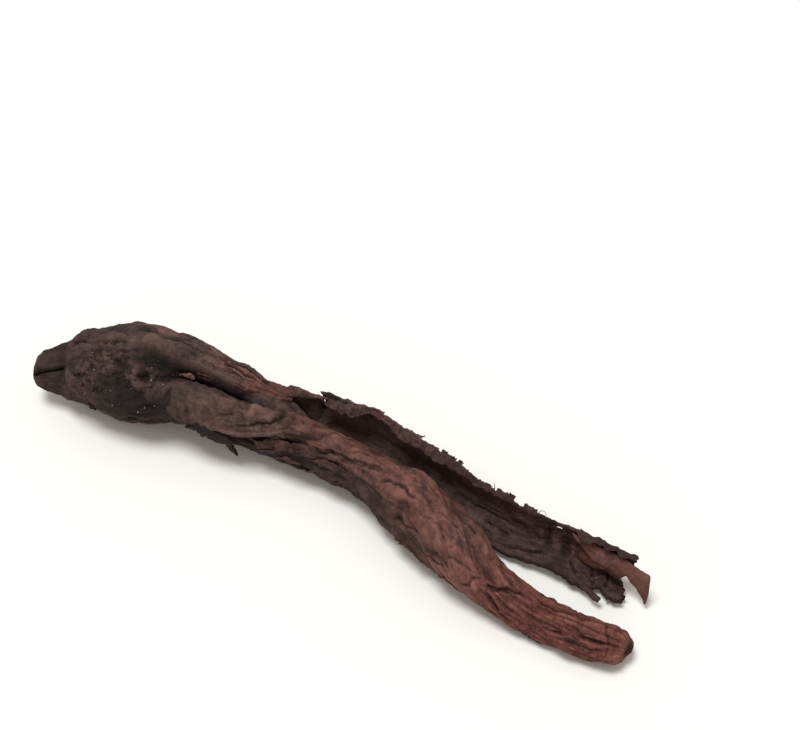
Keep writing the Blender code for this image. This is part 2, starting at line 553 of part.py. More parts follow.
def solid_slab(outer, inner, name):
    """An object from a curved plate between two grids of points, closed all round its edge."""
    rows, columns, _ = outer.shape
    size = rows * columns
    index = np.arange(size).reshape(rows, columns)
    faces = []

    def quad(a, b, c, d):
        faces.append((int(a), int(b), int(c), int(d)))

    for i in range(rows - 1):
        for j in range(columns - 1):
            a, b, c, d = index[i, j], index[i, j + 1], index[i + 1, j + 1], index[i + 1, j]
            quad(a, b, c, d)
            quad(a + size, d + size, c + size, b + size)
    edge = [*index[:, 0], *index[-1, 1:], *index[-2::-1, -1], *index[0, -2:0:-1]]
    for a, b in zip(edge, edge[1:] + edge[:1]):
        quad(a, b, b + size, a + size)
    return mesh_object(np.concatenate([outer.reshape(-1, 3), inner.reshape(-1, 3)]), faces, name)


def trough_columns(columns):
    """The share of the way up the trough's wall, and along its lip, each from 0 to 1, of each column."""
    wall = max(2, round(columns * 0.68))
    up = np.concatenate([np.linspace(0, 1, wall) ** 0.9, np.ones(columns - wall)])
    return up, np.concatenate([np.zeros(wall), np.linspace(0, 1, columns - wall + 1)[1:]])


def curled_lip(place, normal, tangent, lip, length, curl, s):
    """The lip's places and normals: it curls outwards from the top of the wall."""
    tight = LIP_CURL * (1 + 0.35 * along_line(s, 2.6, SEED + 90) + 0.25 * along_line(s, 1.0, SEED + 91))
    bent = (curl / tight)[:, None] + 1 / np.linalg.norm(place, axis=-1)
    turned = lip * length * bent
    sway, lean = np.cos(turned)[:, :, None], np.sin(turned)[:, :, None]
    faced = normal * sway + tangent * lean
    return place - normal / bent[:, :, None] + faced / bent[:, :, None], faced


def sheet_surface(grid):
    """The bark trough's outer and inner faces, as grids of points along it and up to its lip."""
    rings, columns = grid
    s, station = smooth_rows(SHEET, rings)
    centre, radius, thick = station[:, None, :3], station[:, 3:4], station[:, 6:7]
    back, up = section_axes(station[:, :3])
    low, high = np.radians(station[:, 4:5]), np.radians(station[:, 5:6])
    wall, lip = trough_columns(columns)
    rim = 6.0 * along_line(s, 3.4, SEED + 8) + 3.0 * along_line(s, 1.1, SEED + 9)
    length = np.interp(s, *np.array(LIP).T)
    curl = rise(length, 0.4, 1.2)
    high = high + np.radians((1 - 0.6 * curl) * rim - 9.0 * curl)[:, None]
    high = high - np.radians(12 * (1 - rise(s, 16.0, 1.5)) + 46 * near(s, 15.2, 0.9))[:, None]
    jagged = 4.0 * along_line(s, 1.3, SEED + 13) + 2.5 * along_line(s, 0.5, SEED + 14)
    bottom = 4.0 * rise(s, 76.0, 2.0) + jagged * (0.35 + rise(s, 74.0, 4.0))
    low = low - np.radians(bottom * rise(s, 50.0, 6.0))[:, None]
    angle = low + (high - low) * wall[None, :]
    s_all = np.broadcast_to(s[:, None], angle.shape)
    wall_all = np.broadcast_to(wall, angle.shape)
    lip_all = np.broadcast_to(lip, angle.shape)

    def field(per_mm, per_wall, octaves, seed):
        spots = np.stack([s_all * per_mm, (wall_all + 0.25 * lip_all) * per_wall, s_all * 0], axis=-1)
        return cloud(spots.reshape(-1, 3), octaves, seed).reshape(angle.shape)

    r = radius + 0.8 * field(0.10, 2.6, 2, SEED + 10)
    r = r + station[:, 7:8] * rise(wall_all, 0.72, 0.28)
    # Where the cord lies on the trough, its lower edge dips into the cord
    r = r - 1.4 * (1 - rise(s_all, 52, 8)) * (1 - rise(wall_all, 0.0, 0.25))
    # The fold that stands up inside the far end, and the creases beside it
    step = rise(wall_all, 0.42, 0.06) * (1 - rise(wall_all, 0.55, 0.28))
    r = r - rise(s_all, 76, 6) * (1.9 * step - 0.9 * near(wall_all, 0.30, 0.10))
    width = np.full(s_all.size, TROUGH_WIDTH)
    r = r - cracks(s_all.ravel(), wall_all.ravel(), width, TROUGH_CRACKS, 0.0).reshape(angle.shape)
    place = np.stack([r * np.cos(angle), r * np.sin(angle)], axis=-1)
    tangent = np.gradient(place, axis=1)
    top = int((lip == 0).sum()) - 1
    tangent[:, top:] = (place[:, top] - place[:, top - 1])[:, None]
    tangent /= np.linalg.norm(tangent, axis=-1)[:, :, None]
    normal = np.stack([tangent[..., 1], -tangent[..., 0]], axis=-1)
    ragged = 0.9 * along_line(s, 4.2, SEED + 60) + 0.35 * along_line(s, 1.3, SEED + 61)
    length = np.maximum(length + ragged, LIP_SHORTEST)[:, None]
    start = (place[:, top, None], normal[:, top, None], tangent[:, top, None])
    curled, faced = curled_lip(*start, lip_all, length, curl, s)
    is_lip = (lip_all > 0)[:, :, None]
    place, normal = np.where(is_lip, curled, place), np.where(is_lip, faced, normal)
    half = thick / 2 * (1 - 0.35 * rise(wall_all, 0.75, 0.25))
    # The outside is furrowed along its length
    lines = 0.55 * groove(field(0.05, 6.0, 1, SEED + 12), 0.3) * rise(wall_all, 0.0, 0.1)
    outside = (0.3 - lines) * (1 - rise(wall_all, 0.8, 0.2))

    def spread(flat):
        return centre + flat[:, :, :1] * back[:, None] + flat[:, :, 1:] * up[:, None]

    outer = spread(place + normal * (half + outside)[:, :, None])
    inner = spread(place - normal * half[:, :, None])
    # The far edge is torn, and notched below the fold
    across = wall + 0.25 * lip
    torn = 1.5 * along_line(across * 20, 1.5, SEED + 11) - 2.2 * near(across, 0.45, 0.1)
    pull = rise(s_all, s[-1] - 5, 5) * torn[None, :]
    outer[:, :, 0] += pull
    inner[:, :, 0] += pull
    return outer, inner


def leaf_surface(edges, thick, bow):
    """Both faces of a leaf of bark between two edges. bow lifts its middle line above them."""
    first, second = (np.array(edge) for edge in edges)
    across = second - first
    out = np.cross(across, np.gradient((first + second) / 2, axis=0))
    out /= np.linalg.norm(out, axis=1)[:, None]
    side = np.linspace(0, 1, LEAF_COLUMNS)[None, :, None]
    middle = first[:, None] * (1 - side) + second[:, None] * side
    middle = middle + out[:, None] * 4 * bow * side * (1 - side)
    shift = out[:, None] * thick / 2
    return middle - shift, middle + shift


def pieces():
    """Every body that the root is fused from, as separate closed objects."""
    made = [
        solid_tube(tube(CROWN, CROWN_GRID, crown_relief, crown_marks), "crown"),
        solid_tube(tube(RIDGE, RIDGE_GRID, ridge_relief, ridge_marks), "ridge"),
        solid_tube(tube(ROLL, ROLL_GRID, roll_relief, roll_marks), "roll"),
        solid_tube(tube(CORD, CORD_GRID, cord_relief, cord_marks, 0.1), "cord"),
        solid_slab(*sheet_surface(SHEET_GRID), "sheet"),
    ]
    for name, edges, thick, bow in LEAVES:
        made.append(solid_slab(*leaf_surface(edges, thick, bow), name))
    return made


def resting_floor():
    """A block under the surface that the root lies on, which trims its low points to flat spots."""
    low, high = (-90.0, -40.0, -20.0), (90.0, 40.0, 0.0)
    points = list(itertools.product(*zip(low, high)))
    faces = [(0, 1, 3, 2), (4, 6, 7, 5), (0, 4, 5, 1), (2, 3, 7, 6), (0, 2, 6, 4), (1, 5, 7, 3)]
    return mesh_object(points, faces, "floor")


def combine(target, operation, others):
    """Apply one Boolean of others to target, then remove them."""
    group = bpy.data.collections.new("operands")
    for other in others:
        group.objects.link(other)
    modifier = target.modifiers.new(operation, "BOOLEAN")
    modifier.operation = operation
    modifier.operand_type = "COLLECTION"
    modifier.collection = group
    modifier.solver = SOLVER
    graph = bpy.context.evaluated_depsgraph_get()
    result = bpy.data.meshes.new_from_object(target.evaluated_get(graph))
    target.modifiers.clear()
    target.data = result
    for other in others:
        bpy.data.objects.remove(other)
    bpy.data.collections.remove(group)


def bark_material():
    material = bpy.data.materials.new("bark")
    material.use_nodes = True
    shader = material.node_tree.nodes["Principled BSDF"]
    shader.inputs["Base Color"].default_value = BARK_COLOUR
    shader.inputs["Roughness"].default_value = BARK_ROUGHNESS
    shader.inputs["Metallic"].default_value = 0.0
    return material


def build():
    for old in list(bpy.data.objects):
        bpy.data.objects.remove(old)
    root, *others = pieces()
    combine(root, "UNION", others)
    combine(root, "DIFFERENCE", [resting_floor()])
    root.name = root.data.name = "root"
    root.data.materials.clear()
    root.data.materials.append(bark_material())
    root.data.shade_smooth()
    root.data.set_sharp_from_angle(angle=math.radians(SHARP_ANGLE))


build()
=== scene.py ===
"""The looks of the dried gromwell root: the fine skin over its solid, loose flakes and fibres, the floor, the
light and the camera.

Sizes are in millimetres until mesh_object() turns them into metres. +X runs from the crown to the tips.
"""

import functools
import itertools
import math

import bpy
import numpy as np
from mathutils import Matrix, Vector


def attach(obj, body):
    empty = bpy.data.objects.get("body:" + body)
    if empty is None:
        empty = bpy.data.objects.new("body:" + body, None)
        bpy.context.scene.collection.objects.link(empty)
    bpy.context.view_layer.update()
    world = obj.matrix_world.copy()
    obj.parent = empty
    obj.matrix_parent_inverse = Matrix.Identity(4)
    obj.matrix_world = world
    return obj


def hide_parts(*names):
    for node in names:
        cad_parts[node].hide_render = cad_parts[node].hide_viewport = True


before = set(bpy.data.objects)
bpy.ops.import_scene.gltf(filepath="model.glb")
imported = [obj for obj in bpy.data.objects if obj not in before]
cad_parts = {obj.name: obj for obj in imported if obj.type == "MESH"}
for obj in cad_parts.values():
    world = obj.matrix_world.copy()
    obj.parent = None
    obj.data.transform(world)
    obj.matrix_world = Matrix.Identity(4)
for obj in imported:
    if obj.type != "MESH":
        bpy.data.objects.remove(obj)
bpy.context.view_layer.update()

MM = 0.001
TURN = 360.0
SEED = 7
ROOT = "root"
# What the bark's material reads at each point, beside its grain and its pits
# Darkness and paleness hold painted shade and painted light as well as the bark's own colour
PAINTS = ("red", "dark", "pale")

# Rows and columns of points in the trough, a leaf, a flake, a crumb and a fibre
SHEET_GRID = (430, 110)
LEAF_GRID = (80, 22)
FLAKE_GRID = (18, 7)
CRUMB_GRID = (7, 9)
FIBRE_GRID = (14, 6)

# Each row is a station along a body: x, y and z of its middle, its half width and its half height
CROWN = (
    (-71.3, -4.9, 6.4, 0.4, 0.4),
    (-70.6, -4.5, 6.5, 2.4, 2.3),
    (-68.8, -3.3, 6.8, 3.9, 3.7),
    (-66, -1.7, 7.5, 5.4, 5.2),
    (-61.4, 0.1, 8.5, 7.6, 7.4),
    (-57.4, 1.4, 9.5, 9, 8.7),
    (-51.8, 2.4, 10.3, 10.3, 10.1),
    (-46.4, 3.9, 10.6, 11, 10.8),
    (-42.3, 5.2, 10.6, 10.4, 10.2),
    (-37.9, 6.2, 10.2, 9.4, 9.2),
    (-33.9, 6.5, 9.8, 8.4, 8.2),
    (-29.5, 6.7, 9.4, 7.4, 7.2),
    (-23.7, 6.8, 8.8, 6.4, 6.4),
    (-17.2, 6.6, 8, 5.5, 5.7),
    (-11, 6.2, 7.4, 4.2, 4.2),
    (-6, 5.8, 7, 0.5, 0.5),
)
RIDGE = (
    (-64.5, 0.4, 12.4, 0.4, 0.4),
    (-62.6, 1.3, 13, 2.8, 2.8),
    (-57.4, 4.2, 14.2, 3.9, 3.8),
    (-51.9, 6.6, 15.3, 4.3, 4.2),
    (-46.9, 8.3, 15.6, 4.3, 4.2),
    (-41.7, 8.8, 15, 4, 3.9),
    (-36, 8.9, 14.8, 3.9, 3.8),
    (-32.4, 9, 14.5, 3.5, 3.4),
    (-27.1, 9.2, 14.1, 3, 2.7),
    (-21.4, 8.9, 13.6, 2.3, 1.8),
    (-17.5, 9.4, 12.9, 1.5, 1.1),
    (-14.6, 9.9, 12.5, 0.4, 0.4),
)
ROLL = (
    (-42, 0.2, 11.4, 0.4, 0.4),
    (-40.3, 0.3, 12, 2.8, 2.8),
    (-36.9, 0.1, 12, 4.2, 4.2),
    (-31.9, 0.6, 11.5, 4.7, 4.6),
    (-27.4, 1.1, 11, 4.4, 4.2),
    (-23, 1.9, 10.6, 4, 3.7),
    (-17.1, 4, 10.2, 3.4, 3),
    (-11.4, 5.6, 10.2, 2.9, 2.6),
    (-4, 5.4, 10, 2.4, 2.2),
    (3, 5, 9.4, 0.5, 0.5),
)
CORD = (
    (-31, 1.8, 8, 0.4, 0.4),
    (-29, 1.8, 8, 2.6, 2.6),
    (-24.5, 2.4, 7.6, 4, 4),
    (-17.1, 3.9, 7.2, 4.9, 4.9),
    (-10.2, 4.6, 7.1, 5.3, 5.3),
    (-2.1, 4.4, 7, 5.1, 5.2),
    (3.5, 4.2, 7.1, 5.3, 5.3),
    (10.9, 2.2, 7.4, 6.1, 6),
    (19.8, -0.5, 7.8, 7.2, 7),
    (25.7, -3.4, 7.4, 6.9, 6.8),
    (31.4, -6, 6.8, 6.3, 6.2),
    (37.1, -8.7, 6, 5.5, 5.5),
    (42.5, -10, 5.2, 4.7, 4.7),
    (50.6, -11, 4.3, 4.3, 4.3),
    (58, -11.3, 3.8, 4.2, 4.2),
    (63.6, -11.1, 3.7, 4.1, 4.1),
    (67.4, -10.5, 3.7, 3.9, 3.8),
    (68.8, -10.4, 3.8, 3.6, 3.4),
    (69.7, -10.4, 3.9, 2.7, 2.5),
    (70.2, -10.5, 4, 1.4, 1.3),
    (70.5, -10.6, 4.1, 0.4, 0.4),
)
# Stations of the bark trough: x, y and z of the middle of its curve, the curve's radius, the angles of its
# lower and upper edge (0 points to the back, 90 up), its thickness and how far its lip flares out
SHEET = (
    (-24, 6, 7.6, 4.6, -110, 44, 2.6, 0),
    (-14, 6.4, 7.8, 6, -115, 46, 2.1, 0.2),
    (-6, 6.8, 7.8, 6.8, -120, 48, 1.7, 2),
    (2, 6.8, 7.5, 7, -122, 50, 1.5, 2.1),
    (10, 5.8, 7.45, 7.1, -120, 48, 1.4, 1.4),
    (18, 4.6, 7.5, 6.9, -115, 45, 1.3, 1.3),
    (26, 3.1, 8.1, 6.4, -110, 42, 1.2, 0.8),
    (34, 2.2, 8.2, 5.8, -104, 38, 1.2, 0.3),
    (42, 1.5, 8.2, 5.4, -100, 34, 1.2, 0.2),
    (50, 1.6, 8.1, 5.4, -100, 30, 1.1, 0.2),
    (58, 1.3, 7.9, 5.9, -102, 24, 1, 0.2),
    (64.5, 1.5, 7.6, 5.9, -100, 20, 1, 0.2),
)
# Length of the trough's curled lip at each distance along the root
LIP = (
    (0, 0.3), (14, 0.3), (16.5, 3.2), (22, 3.6), (26.5, 2.4), (31, 2), (34, 3.4), (44, 2.8), (50, 2.2),
    (58, 1.4), (62, 0.5), (74, 0.5), (77, 2.4), (86, 2.2), (100, 1.6),
)
# The radius of the lip's curl, the height of the wall along its curve, how much of that height the lip counts
# for in places across the trough, and the share of the columns of points that the wall takes
LIP_CURL = 2.6
TROUGH_WIDTH = 13.0
LIP_SHARE = 0.25
WALL_COLUMNS = 0.68
# Notches in the rim and beside the curled strip: distance along the root, reach and depth in degrees
RIM_NOTCH = (14.9, 0.8, 30.0)
STRIP_NOTCH = (84.0, 1.7, 17.0)
# The see-through hole near the sheet's end: its place along the root and up the wall, and its reach each way
HOLE_PLACE = (71.9, 0.82)
HOLE_REACH = (1.5, 0.05)
# Leaves of torn bark: the points of one edge and those of the other
SCRAP = (
    ((50.7, 6.6, 9.8), (53.7, 6.4, 9.5), (56.4, 6.2, 9), (59, 6, 8.9), (61.5, 5.8, 9), (63.3, 5.6, 8.7),
     (64, 5.5, 8.5), (65.3, 5.5, 7.7), (66.7, 5.4, 7.4), (68.5, 5, 7.3), (68.8, 4, 4.1), (68.8, 2.6, 1.5)),
    ((51.6, 5.6, 9.3), (54, 4.6, 8.6), (56.4, 4, 6.6), (58.9, 3.8, 6.1), (61.4, 3.6, 5.5), (63.1, 3.7, 5.2),
     (63.8, 4, 6), (64.8, 3.8, 4.6), (66.3, 3.5, 3.8), (67.8, 2.7, 2.7), (68.5, 2.4, 2.1), (68.6, 2.3, 1.4)),
)
HANGING_FLAKE = (
    ((-33.1, -3.7, 8.9), (-30, -3.9, 11.5), (-27.9, -3.7, 11.4), (-25.9, -3.5, 11), (-23.8, -3.1, 10.3),
     (-22.5, -2.7, 8.9), (-22.4, -2.4, 6.2), (-21.6, -2.3, 4)),
    ((-32.7, -4, 8.8), (-30.2, -4.3, 9.5), (-28.9, -4.2, 8.3), (-27.1, -4, 8.1), (-25.5, -3.5, 7.2),
     (-24, -2.9, 6.5), (-23.4, -2.6, 4.8), (-21.8, -2.5, 3.6)),
)
RIM_FLAKE = (
    ((-9.3, 12.7, 15.2), (-7.1, 12.9, 15.8), (-5.5, 12.9, 15.5), (-4.5, 12.9, 14.6), (-2.9, 12.9, 15.2),
     (-1.8, 12.7, 14.8)),
    ((-9.1, 12.6, 15), (-7.9, 12.4, 12.9), (-6.6, 12.2, 12.5), (-5.3, 12, 12.4), (-3.7, 12, 12.6),
     (-2.1, 12.1, 13.1)),
)
CURLED_STRIP = (
    ((53, 1.8, 1.4), (55.5, 0.8, 2.4), (57.4, 0.2, 3.1), (59.1, -0.8, 3.1), (60.8, -1.3, 2.8)),
    ((53.5, 1.4, 0.8), (55.8, 0.3, 1.3), (57.6, -0.5, 1.5), (59.3, -1.4, 1.5), (60.4, -1.8, 1.7)),
)
BARK_EDGE = (
    ((-29.1, -3.3, 12), (-26, -3.1, 12), (-23.7, -2.6, 11.5), (-20.8, -1.8, 11.5), (-17.6, -0.6, 11.8),
     (-15, 1, 11.6), (-12.7, 2.6, 12)),
    ((-28.8, -3.8, 12), (-25.3, -4, 11.9), (-23, -3.4, 11.2), (-20.4, -2.6, 11.1), (-17.3, -1.2, 11.1),
     (-14.9, 0.4, 10.8), (-13, 2.2, 11.2)),
)
TOP_FLAKE = (
    ((-31.8, 9.6, 18.3), (-28.6, 10.6, 17.3), (-25.8, 11.2, 17.1), (-23.8, 11, 16.4), (-22, 10.8, 15.6),
     (-20.4, 10.4, 14.7)),
    ((-30.9, 9.2, 17.9), (-27.9, 9.8, 17.1), (-25.6, 10.4, 16.6), (-23.9, 10.2, 15.8), (-22.1, 10, 15.2),
     (-20.2, 9.8, 14.5)),
)
TAN_FLAKE = (
    ((-38.1, 3.2, 15.7), (-37.2, 3.9, 16), (-36.2, 4.1, 16.2), (-35.4, 4.4, 16.2), (-34.6, 3.9, 16)),
    ((-38, 3, 15.7), (-36.8, 3.3, 15.8), (-35.8, 3.2, 15.7), (-35, 3.4, 15.6), (-34.5, 3.7, 15.8)),
)
LIP_STRIP = (
    ((-23.7, 10.4, 16), (-21.3, 10.6, 14.9), (-18.2, 10.9, 14.9), (-16.6, 11, 14.6), (-15.4, 11.4, 15.5),
     (-12.6, 11.8, 15), (-10.8, 12, 14.4), (-8.8, 12.3, 14.3), (-7.2, 12.5, 14.6)),
    ((-23.4, 8.6, 13.4), (-20.8, 8.8, 13), (-18.7, 9.2, 13), (-16.5, 9.6, 12.9), (-14.4, 10.2, 13.2),
     (-12.3, 10.8, 13.6), (-10.6, 11.4, 13.4), (-9, 11.9, 13.7), (-7.4, 12.3, 13.9)),
)
# Name, edges, thickness, bow, how frayed it is, and the redness, darkness and paleness of each leaf
LEAVES = (
    ('scrap', SCRAP, 0.5, 0.25, 0.05, (1, 0, 0.5)),
    ('hanging_flake', HANGING_FLAKE, 0.5, 0.2, 0.3, (0.2, 0.9, 0)),
    ('rim_flake', RIM_FLAKE, 0.3, 0.1, 0.12, (0.15, 0.35, 0)),
    ('lip_strip', LIP_STRIP, 0.5, 0.25, 0.1, (0.5, 0, 0.25)),
    ('curled_strip', CURLED_STRIP, 0.5, 0.4, 0.1, (0.3, 0.35, 0)),
    ('bark_edge', BARK_EDGE, 0.5, 0.3, 0.12, (0.25, 0, 0.4)),
    ('top_flake', TOP_FLAKE, 0.45, 0.2, 0.18, (0, 0.2, 0.1)),
    ('tan_flake', TAN_FLAKE, 0.2, 0.2, 0.5, (0.7, 0, 0.7)),
)

# Cracks: depth, width, height of the step beside it (negative for the side of smaller angles) and the places
# that it runs through, each a distance along the body and an angle round it
CROWN_VALLEYS = (
    (0.6, 2.2, 0, (9.6, 40), (9.2, 60), (8.7, 82), (8.4, 104), (8.9, 134), (9.4, 159), (10.6, 174),
     (11.4, 200), (11.8, 240)),
    (1.6, 2.8, 0, (21.5, 108), (27.6, 105), (31, 107), (35, 106), (39, 108), (43, 112)),
    (4.4, 3.2, 0, (31, 126), (36, 117), (39.4, 113), (42.3, 113), (45.4, 113), (49.2, 114), (52, 112)),
)
CROWN_CRACKS = (
    (1.7, 1, 0, (-2.5, 124), (0.4, 116), (2.4, 108), (3.6, 112), (5.6, 117), (7.6, 120), (9, 121)),
    (0.35, 0.5, 0, (4, 126), (5.6, 128), (6.6, 129)),
    (0.7, 0.6, 0.2, (11.6, 80), (13, 84), (14.7, 87), (15.8, 90)),
    (0.8, 0.8, 0.2, (11.8, 134), (13, 139), (14.1, 141), (16, 140), (17.4, 144)),
    (1.2, 1.1, 0, (30, 135), (32.5, 130), (34.5, 126), (37, 119)),
    (0.5, 0.9, 0.2, (20, 165), (23, 170), (26, 163), (28, 158)),
    (0.5, 0.9, -0.2, (26, 172), (29, 168), (32, 166)),
    (0.5, 0.8, 0.2, (18.5, 96), (20, 93), (22.5, 92), (24, 95)),
    (0.5, 0.8, 0.2, (22.4, 103), (24.1, 104), (25.6, 102), (27, 98)),
    (0.5, 0.8, 0.2, (14, 210), (19, 214), (25, 208), (31, 214)),
    (0.6, 0.9, -0.2, (16, 262), (24, 268), (33, 262)),
    (0.5, 0.8, 0.2, (12, 322), (20, 330), (30, 324), (40, 332)),
    (0.6, 0.9, 0.2, (14, 20), (22, 14), (31, 22), (42, 16)),
    (0.5, 0.8, -0.2, (18, 50), (27, 55), (35, 48)),
)
RIDGE_CRACKS = (
    (0.9, 0.5, -0.4, (35.6, 92), (37.1, 94), (39.7, 88), (42.2, 88), (44.7, 74)),
    (0.7, 0.4, -0.4, (38, 112), (39.2, 110), (41.8, 106)),
    (0.6, 0.4, 0.3, (33.2, 78), (35, 70), (36.4, 74), (38, 66)),
    (0.4, 0.5, 0, (24, 62), (28, 60), (33, 56)),
    (0.5, 0.5, 0.3, (8, 30), (18, 20), (30, 28), (40, 20)),
    (0.4, 0.5, 0.2, (43, 128), (47, 120), (52, 118)),
)
ROLL_CRACKS = (
    (0.35, 0.9, 0.1, (4.2, 60), (4.5, 100), (4.6, 130), (4.6, 160), (4.8, 200), (5.4, 240)),
    (0.25, 0.8, 0, (6, 80), (6.1, 110), (6.4, 144), (7.2, 180), (8.2, 210)),
    (0.35, 0.9, 0.1, (7.4, 84), (7.6, 108), (7.8, 137), (9.5, 166), (10.8, 190)),
    (0.18, 0.8, 0, (9.8, 96), (10, 118), (10.8, 140), (12.4, 160)),
    (0.25, 0.8, -0.1, (12.8, 112), (13.2, 128), (14.4, 144)),
    (0.5, 0.6, -0.75, (9.5, 214), (13.3, 198), (15.4, 183), (20.2, 179), (23, 175), (26.3, 169), (29.5, 154),
     (33, 140)),
    (0.9, 1.1, -0.6, (29.6, 66), (28.8, 87), (27.7, 116), (26.2, 130), (24, 136), (21.6, 139)),
    (0.4, 0.6, 0.2, (15, 138), (15.8, 129), (17.6, 118), (19, 112)),
    (0.4, 0.5, 0.2, (19.2, 150), (22, 140), (24.6, 138)),
    (0.45, 0.5, 0.2, (22.6, 60), (24.4, 66), (26.6, 56), (28.2, 60)),
)
CORD_CRACKS = (
    (1.1, 1.2, -0.5, (9, 160), (10.5, 163), (16.5, 150), (22, 128), (24.5, 118)),
    (0.9, 0.9, 0.4, (14, 176), (18.4, 164), (23.3, 148), (28.6, 125), (32.2, 119), (34.6, 121), (39.2, 112),
     (42.2, 101), (45.4, 99)),
    (0.8, 0.6, -0.3, (43.8, 116), (44.9, 112), (46.8, 108), (48.6, 105), (50.3, 107), (52.2, 108),
     (54, 102)),
    (0.4, 0.5, -0.2, (34.4, 102), (35, 100), (37.1, 90), (38.6, 88)),
    (0.5, 0.6, 0.3, (26.6, 158), (27.7, 156), (31.6, 142), (33, 140)),
    (0.5, 0.6, 0.3, (27, 172), (28.3, 170), (29.9, 170), (32, 166)),
    (0.5, 0.6, 0.3, (24.8, 104), (26.6, 94), (28.9, 77), (30.4, 70)),
    (0.4, 0.4, 0.1, (42.4, 70), (43.7, 73), (46.1, 76), (48.3, 78), (51, 82)),
    (0.5, 0.6, 0.3, (51, 166), (52.2, 162), (54.9, 155), (57, 146), (60, 140)),
    (0.7, 2.4, 0, (50.6, 116), (52.1, 127), (52.8, 153), (54, 165)),
    (0.6, 0.6, 0.2, (70.6, 158), (71.8, 149), (72.1, 131), (73, 118)),
    (1, 0.9, 0.3, (73.6, 138), (75, 128), (76.6, 118), (78.3, 101), (79.9, 94), (82, 88)),
    (0.8, 0.8, 0.4, (74.6, 138), (76.2, 146), (79.2, 172), (81.6, 192)),
    (0.7, 0.8, -0.3, (85.4, 80), (86.8, 79), (88.6, 84), (90.2, 76), (92.4, 68)),
    (0.6, 0.6, 0.2, (87.4, 148), (88.6, 146), (90.4, 148), (92.6, 146)),
    (0.9, 0.9, 0.2, (90.8, 118), (92.3, 117), (94.1, 118), (95.8, 128), (98.9, 124), (101.6, 122)),
    (0.6, 0.6, 0.2, (93.4, 160), (94.6, 158), (97.6, 156), (100.6, 152)),
    (0.3, 0.4, 0.1, (99, 60), (99.2, 76), (100.1, 112), (100.2, 158), (99.6, 180)),
    (0.3, 0.4, 0.2, (64.6, 132), (67.8, 126), (69.6, 121), (72.6, 116)),
    (0.4, 0.5, 0.2, (58, 92), (61, 84), (65, 78), (69, 70)),
    (0.3, 0.5, 0.2, (55, 118), (60, 108), (66, 104)),
    (0.4, 0.5, 0.3, (60, 170), (66, 160), (70, 166)),
    (0.7, 0.7, -0.4, (18, 190), (24, 186), (30, 190), (38, 184), (44, 190)),
    (0.6, 0.6, 0.3, (10, 150), (14.7, 152), (19, 140), (23, 130)),
    (0.7, 0.7, 0.3, (20, 230), (32, 240), (46, 226), (58, 236)),
    (0.7, 0.7, -0.3, (22, 290), (36, 280), (52, 296), (66, 306)),
    (0.6, 0.6, 0.3, (66, 222), (76, 236), (88, 244), (98, 240)),
    (0.6, 0.7, 0.3, (70, 330), (80, 344), (92, 350), (100, 346)),
    (0.6, 0.6, -0.3, (78, 24), (86, 30), (95, 26), (101, 30)),
    (0.5, 0.6, 0.3, (84, 286), (92, 292), (100, 290)),
)
# Cracks inside the trough, whose places across it run from 0 at its lower edge to 1 at its rim
TROUGH_CRACKS = (
    (0.6, 0.7, 0.3, (62, 0.1), (65, 0.14), (68.7, 0.19), (71.3, 0.27)),
    (0.6, 1.3, -0.2, (70.2, 0.78), (70.6, 0.62), (70.8, 0.46), (71.2, 0.26)),
    (0.8, 1.9, 0, (74, 0.74), (74.4, 0.58), (74.7, 0.44), (75, 0.3)),
    (0.5, 0.6, 0.2, (56, 0.36), (60, 0.31), (63, 0.28)),
    (0.6, 0.7, 0.2, (76, 0.34), (78, 0.22), (80, 0.14)),
    (0.6, 0.6, 0.3, (81, 0.44), (81.6, 0.3), (82.6, 0.12), (83, 0.04)),
    (0.6, 0.6, 0.2, (84.6, 0.42), (85.2, 0.24), (85, 0.08)),
    (0.5, 0.6, 0.3, (80.5, 0.2), (84, 0.18), (88, 0.16)),
    (0.4, 0.6, 0.2, (46, 0.55), (52, 0.5), (58, 0.52), (64, 0.48)),
    (0.5, 0.8, 0.3, (44, 0.3), (50, 0.26), (55, 0.2), (60, 0.22)),
)
# Cracks on the outside of the trough's rim, where 0.9 is below the bend and 1.25 at the lip's edge
RIM_CRACKS = (
    (0.5, 0.35, 0.3, (20, 0.98), (23, 1.02), (26.5, 0.99), (30, 1.05)),
    (0.6, 0.35, -0.3, (23.5, 1.12), (27, 1.08), (31, 1.12), (34.5, 1.05), (38, 1.1)),
    (0.5, 0.35, 0.3, (33, 0.97), (36.5, 1.02), (40, 0.98), (44, 1.03)),
    (0.4, 0.3, 0.2, (17.5, 1.06), (19.5, 1.1), (22, 1.08)),
    (0.5, 0.3, 0.3, (44, 0.94), (48, 0.97), (53, 0.94), (58, 0.97)),
    (0.5, 0.35, 0.3, (76, 1.08), (80, 1.04), (84, 1.1), (90, 1.06)),
)
# How far beyond a crack its step reaches, how wide that step is, and the radius from which a strand has its
# cracks and bumps in full, in mm
CRACK_REACH = 3.0
STEP_WIDTH = 1.6
FULL_MARKS = 2.5
# How many cells away a pit is felt, near and farther, in the shade painted into it
PIT_REACH = (2, 9)
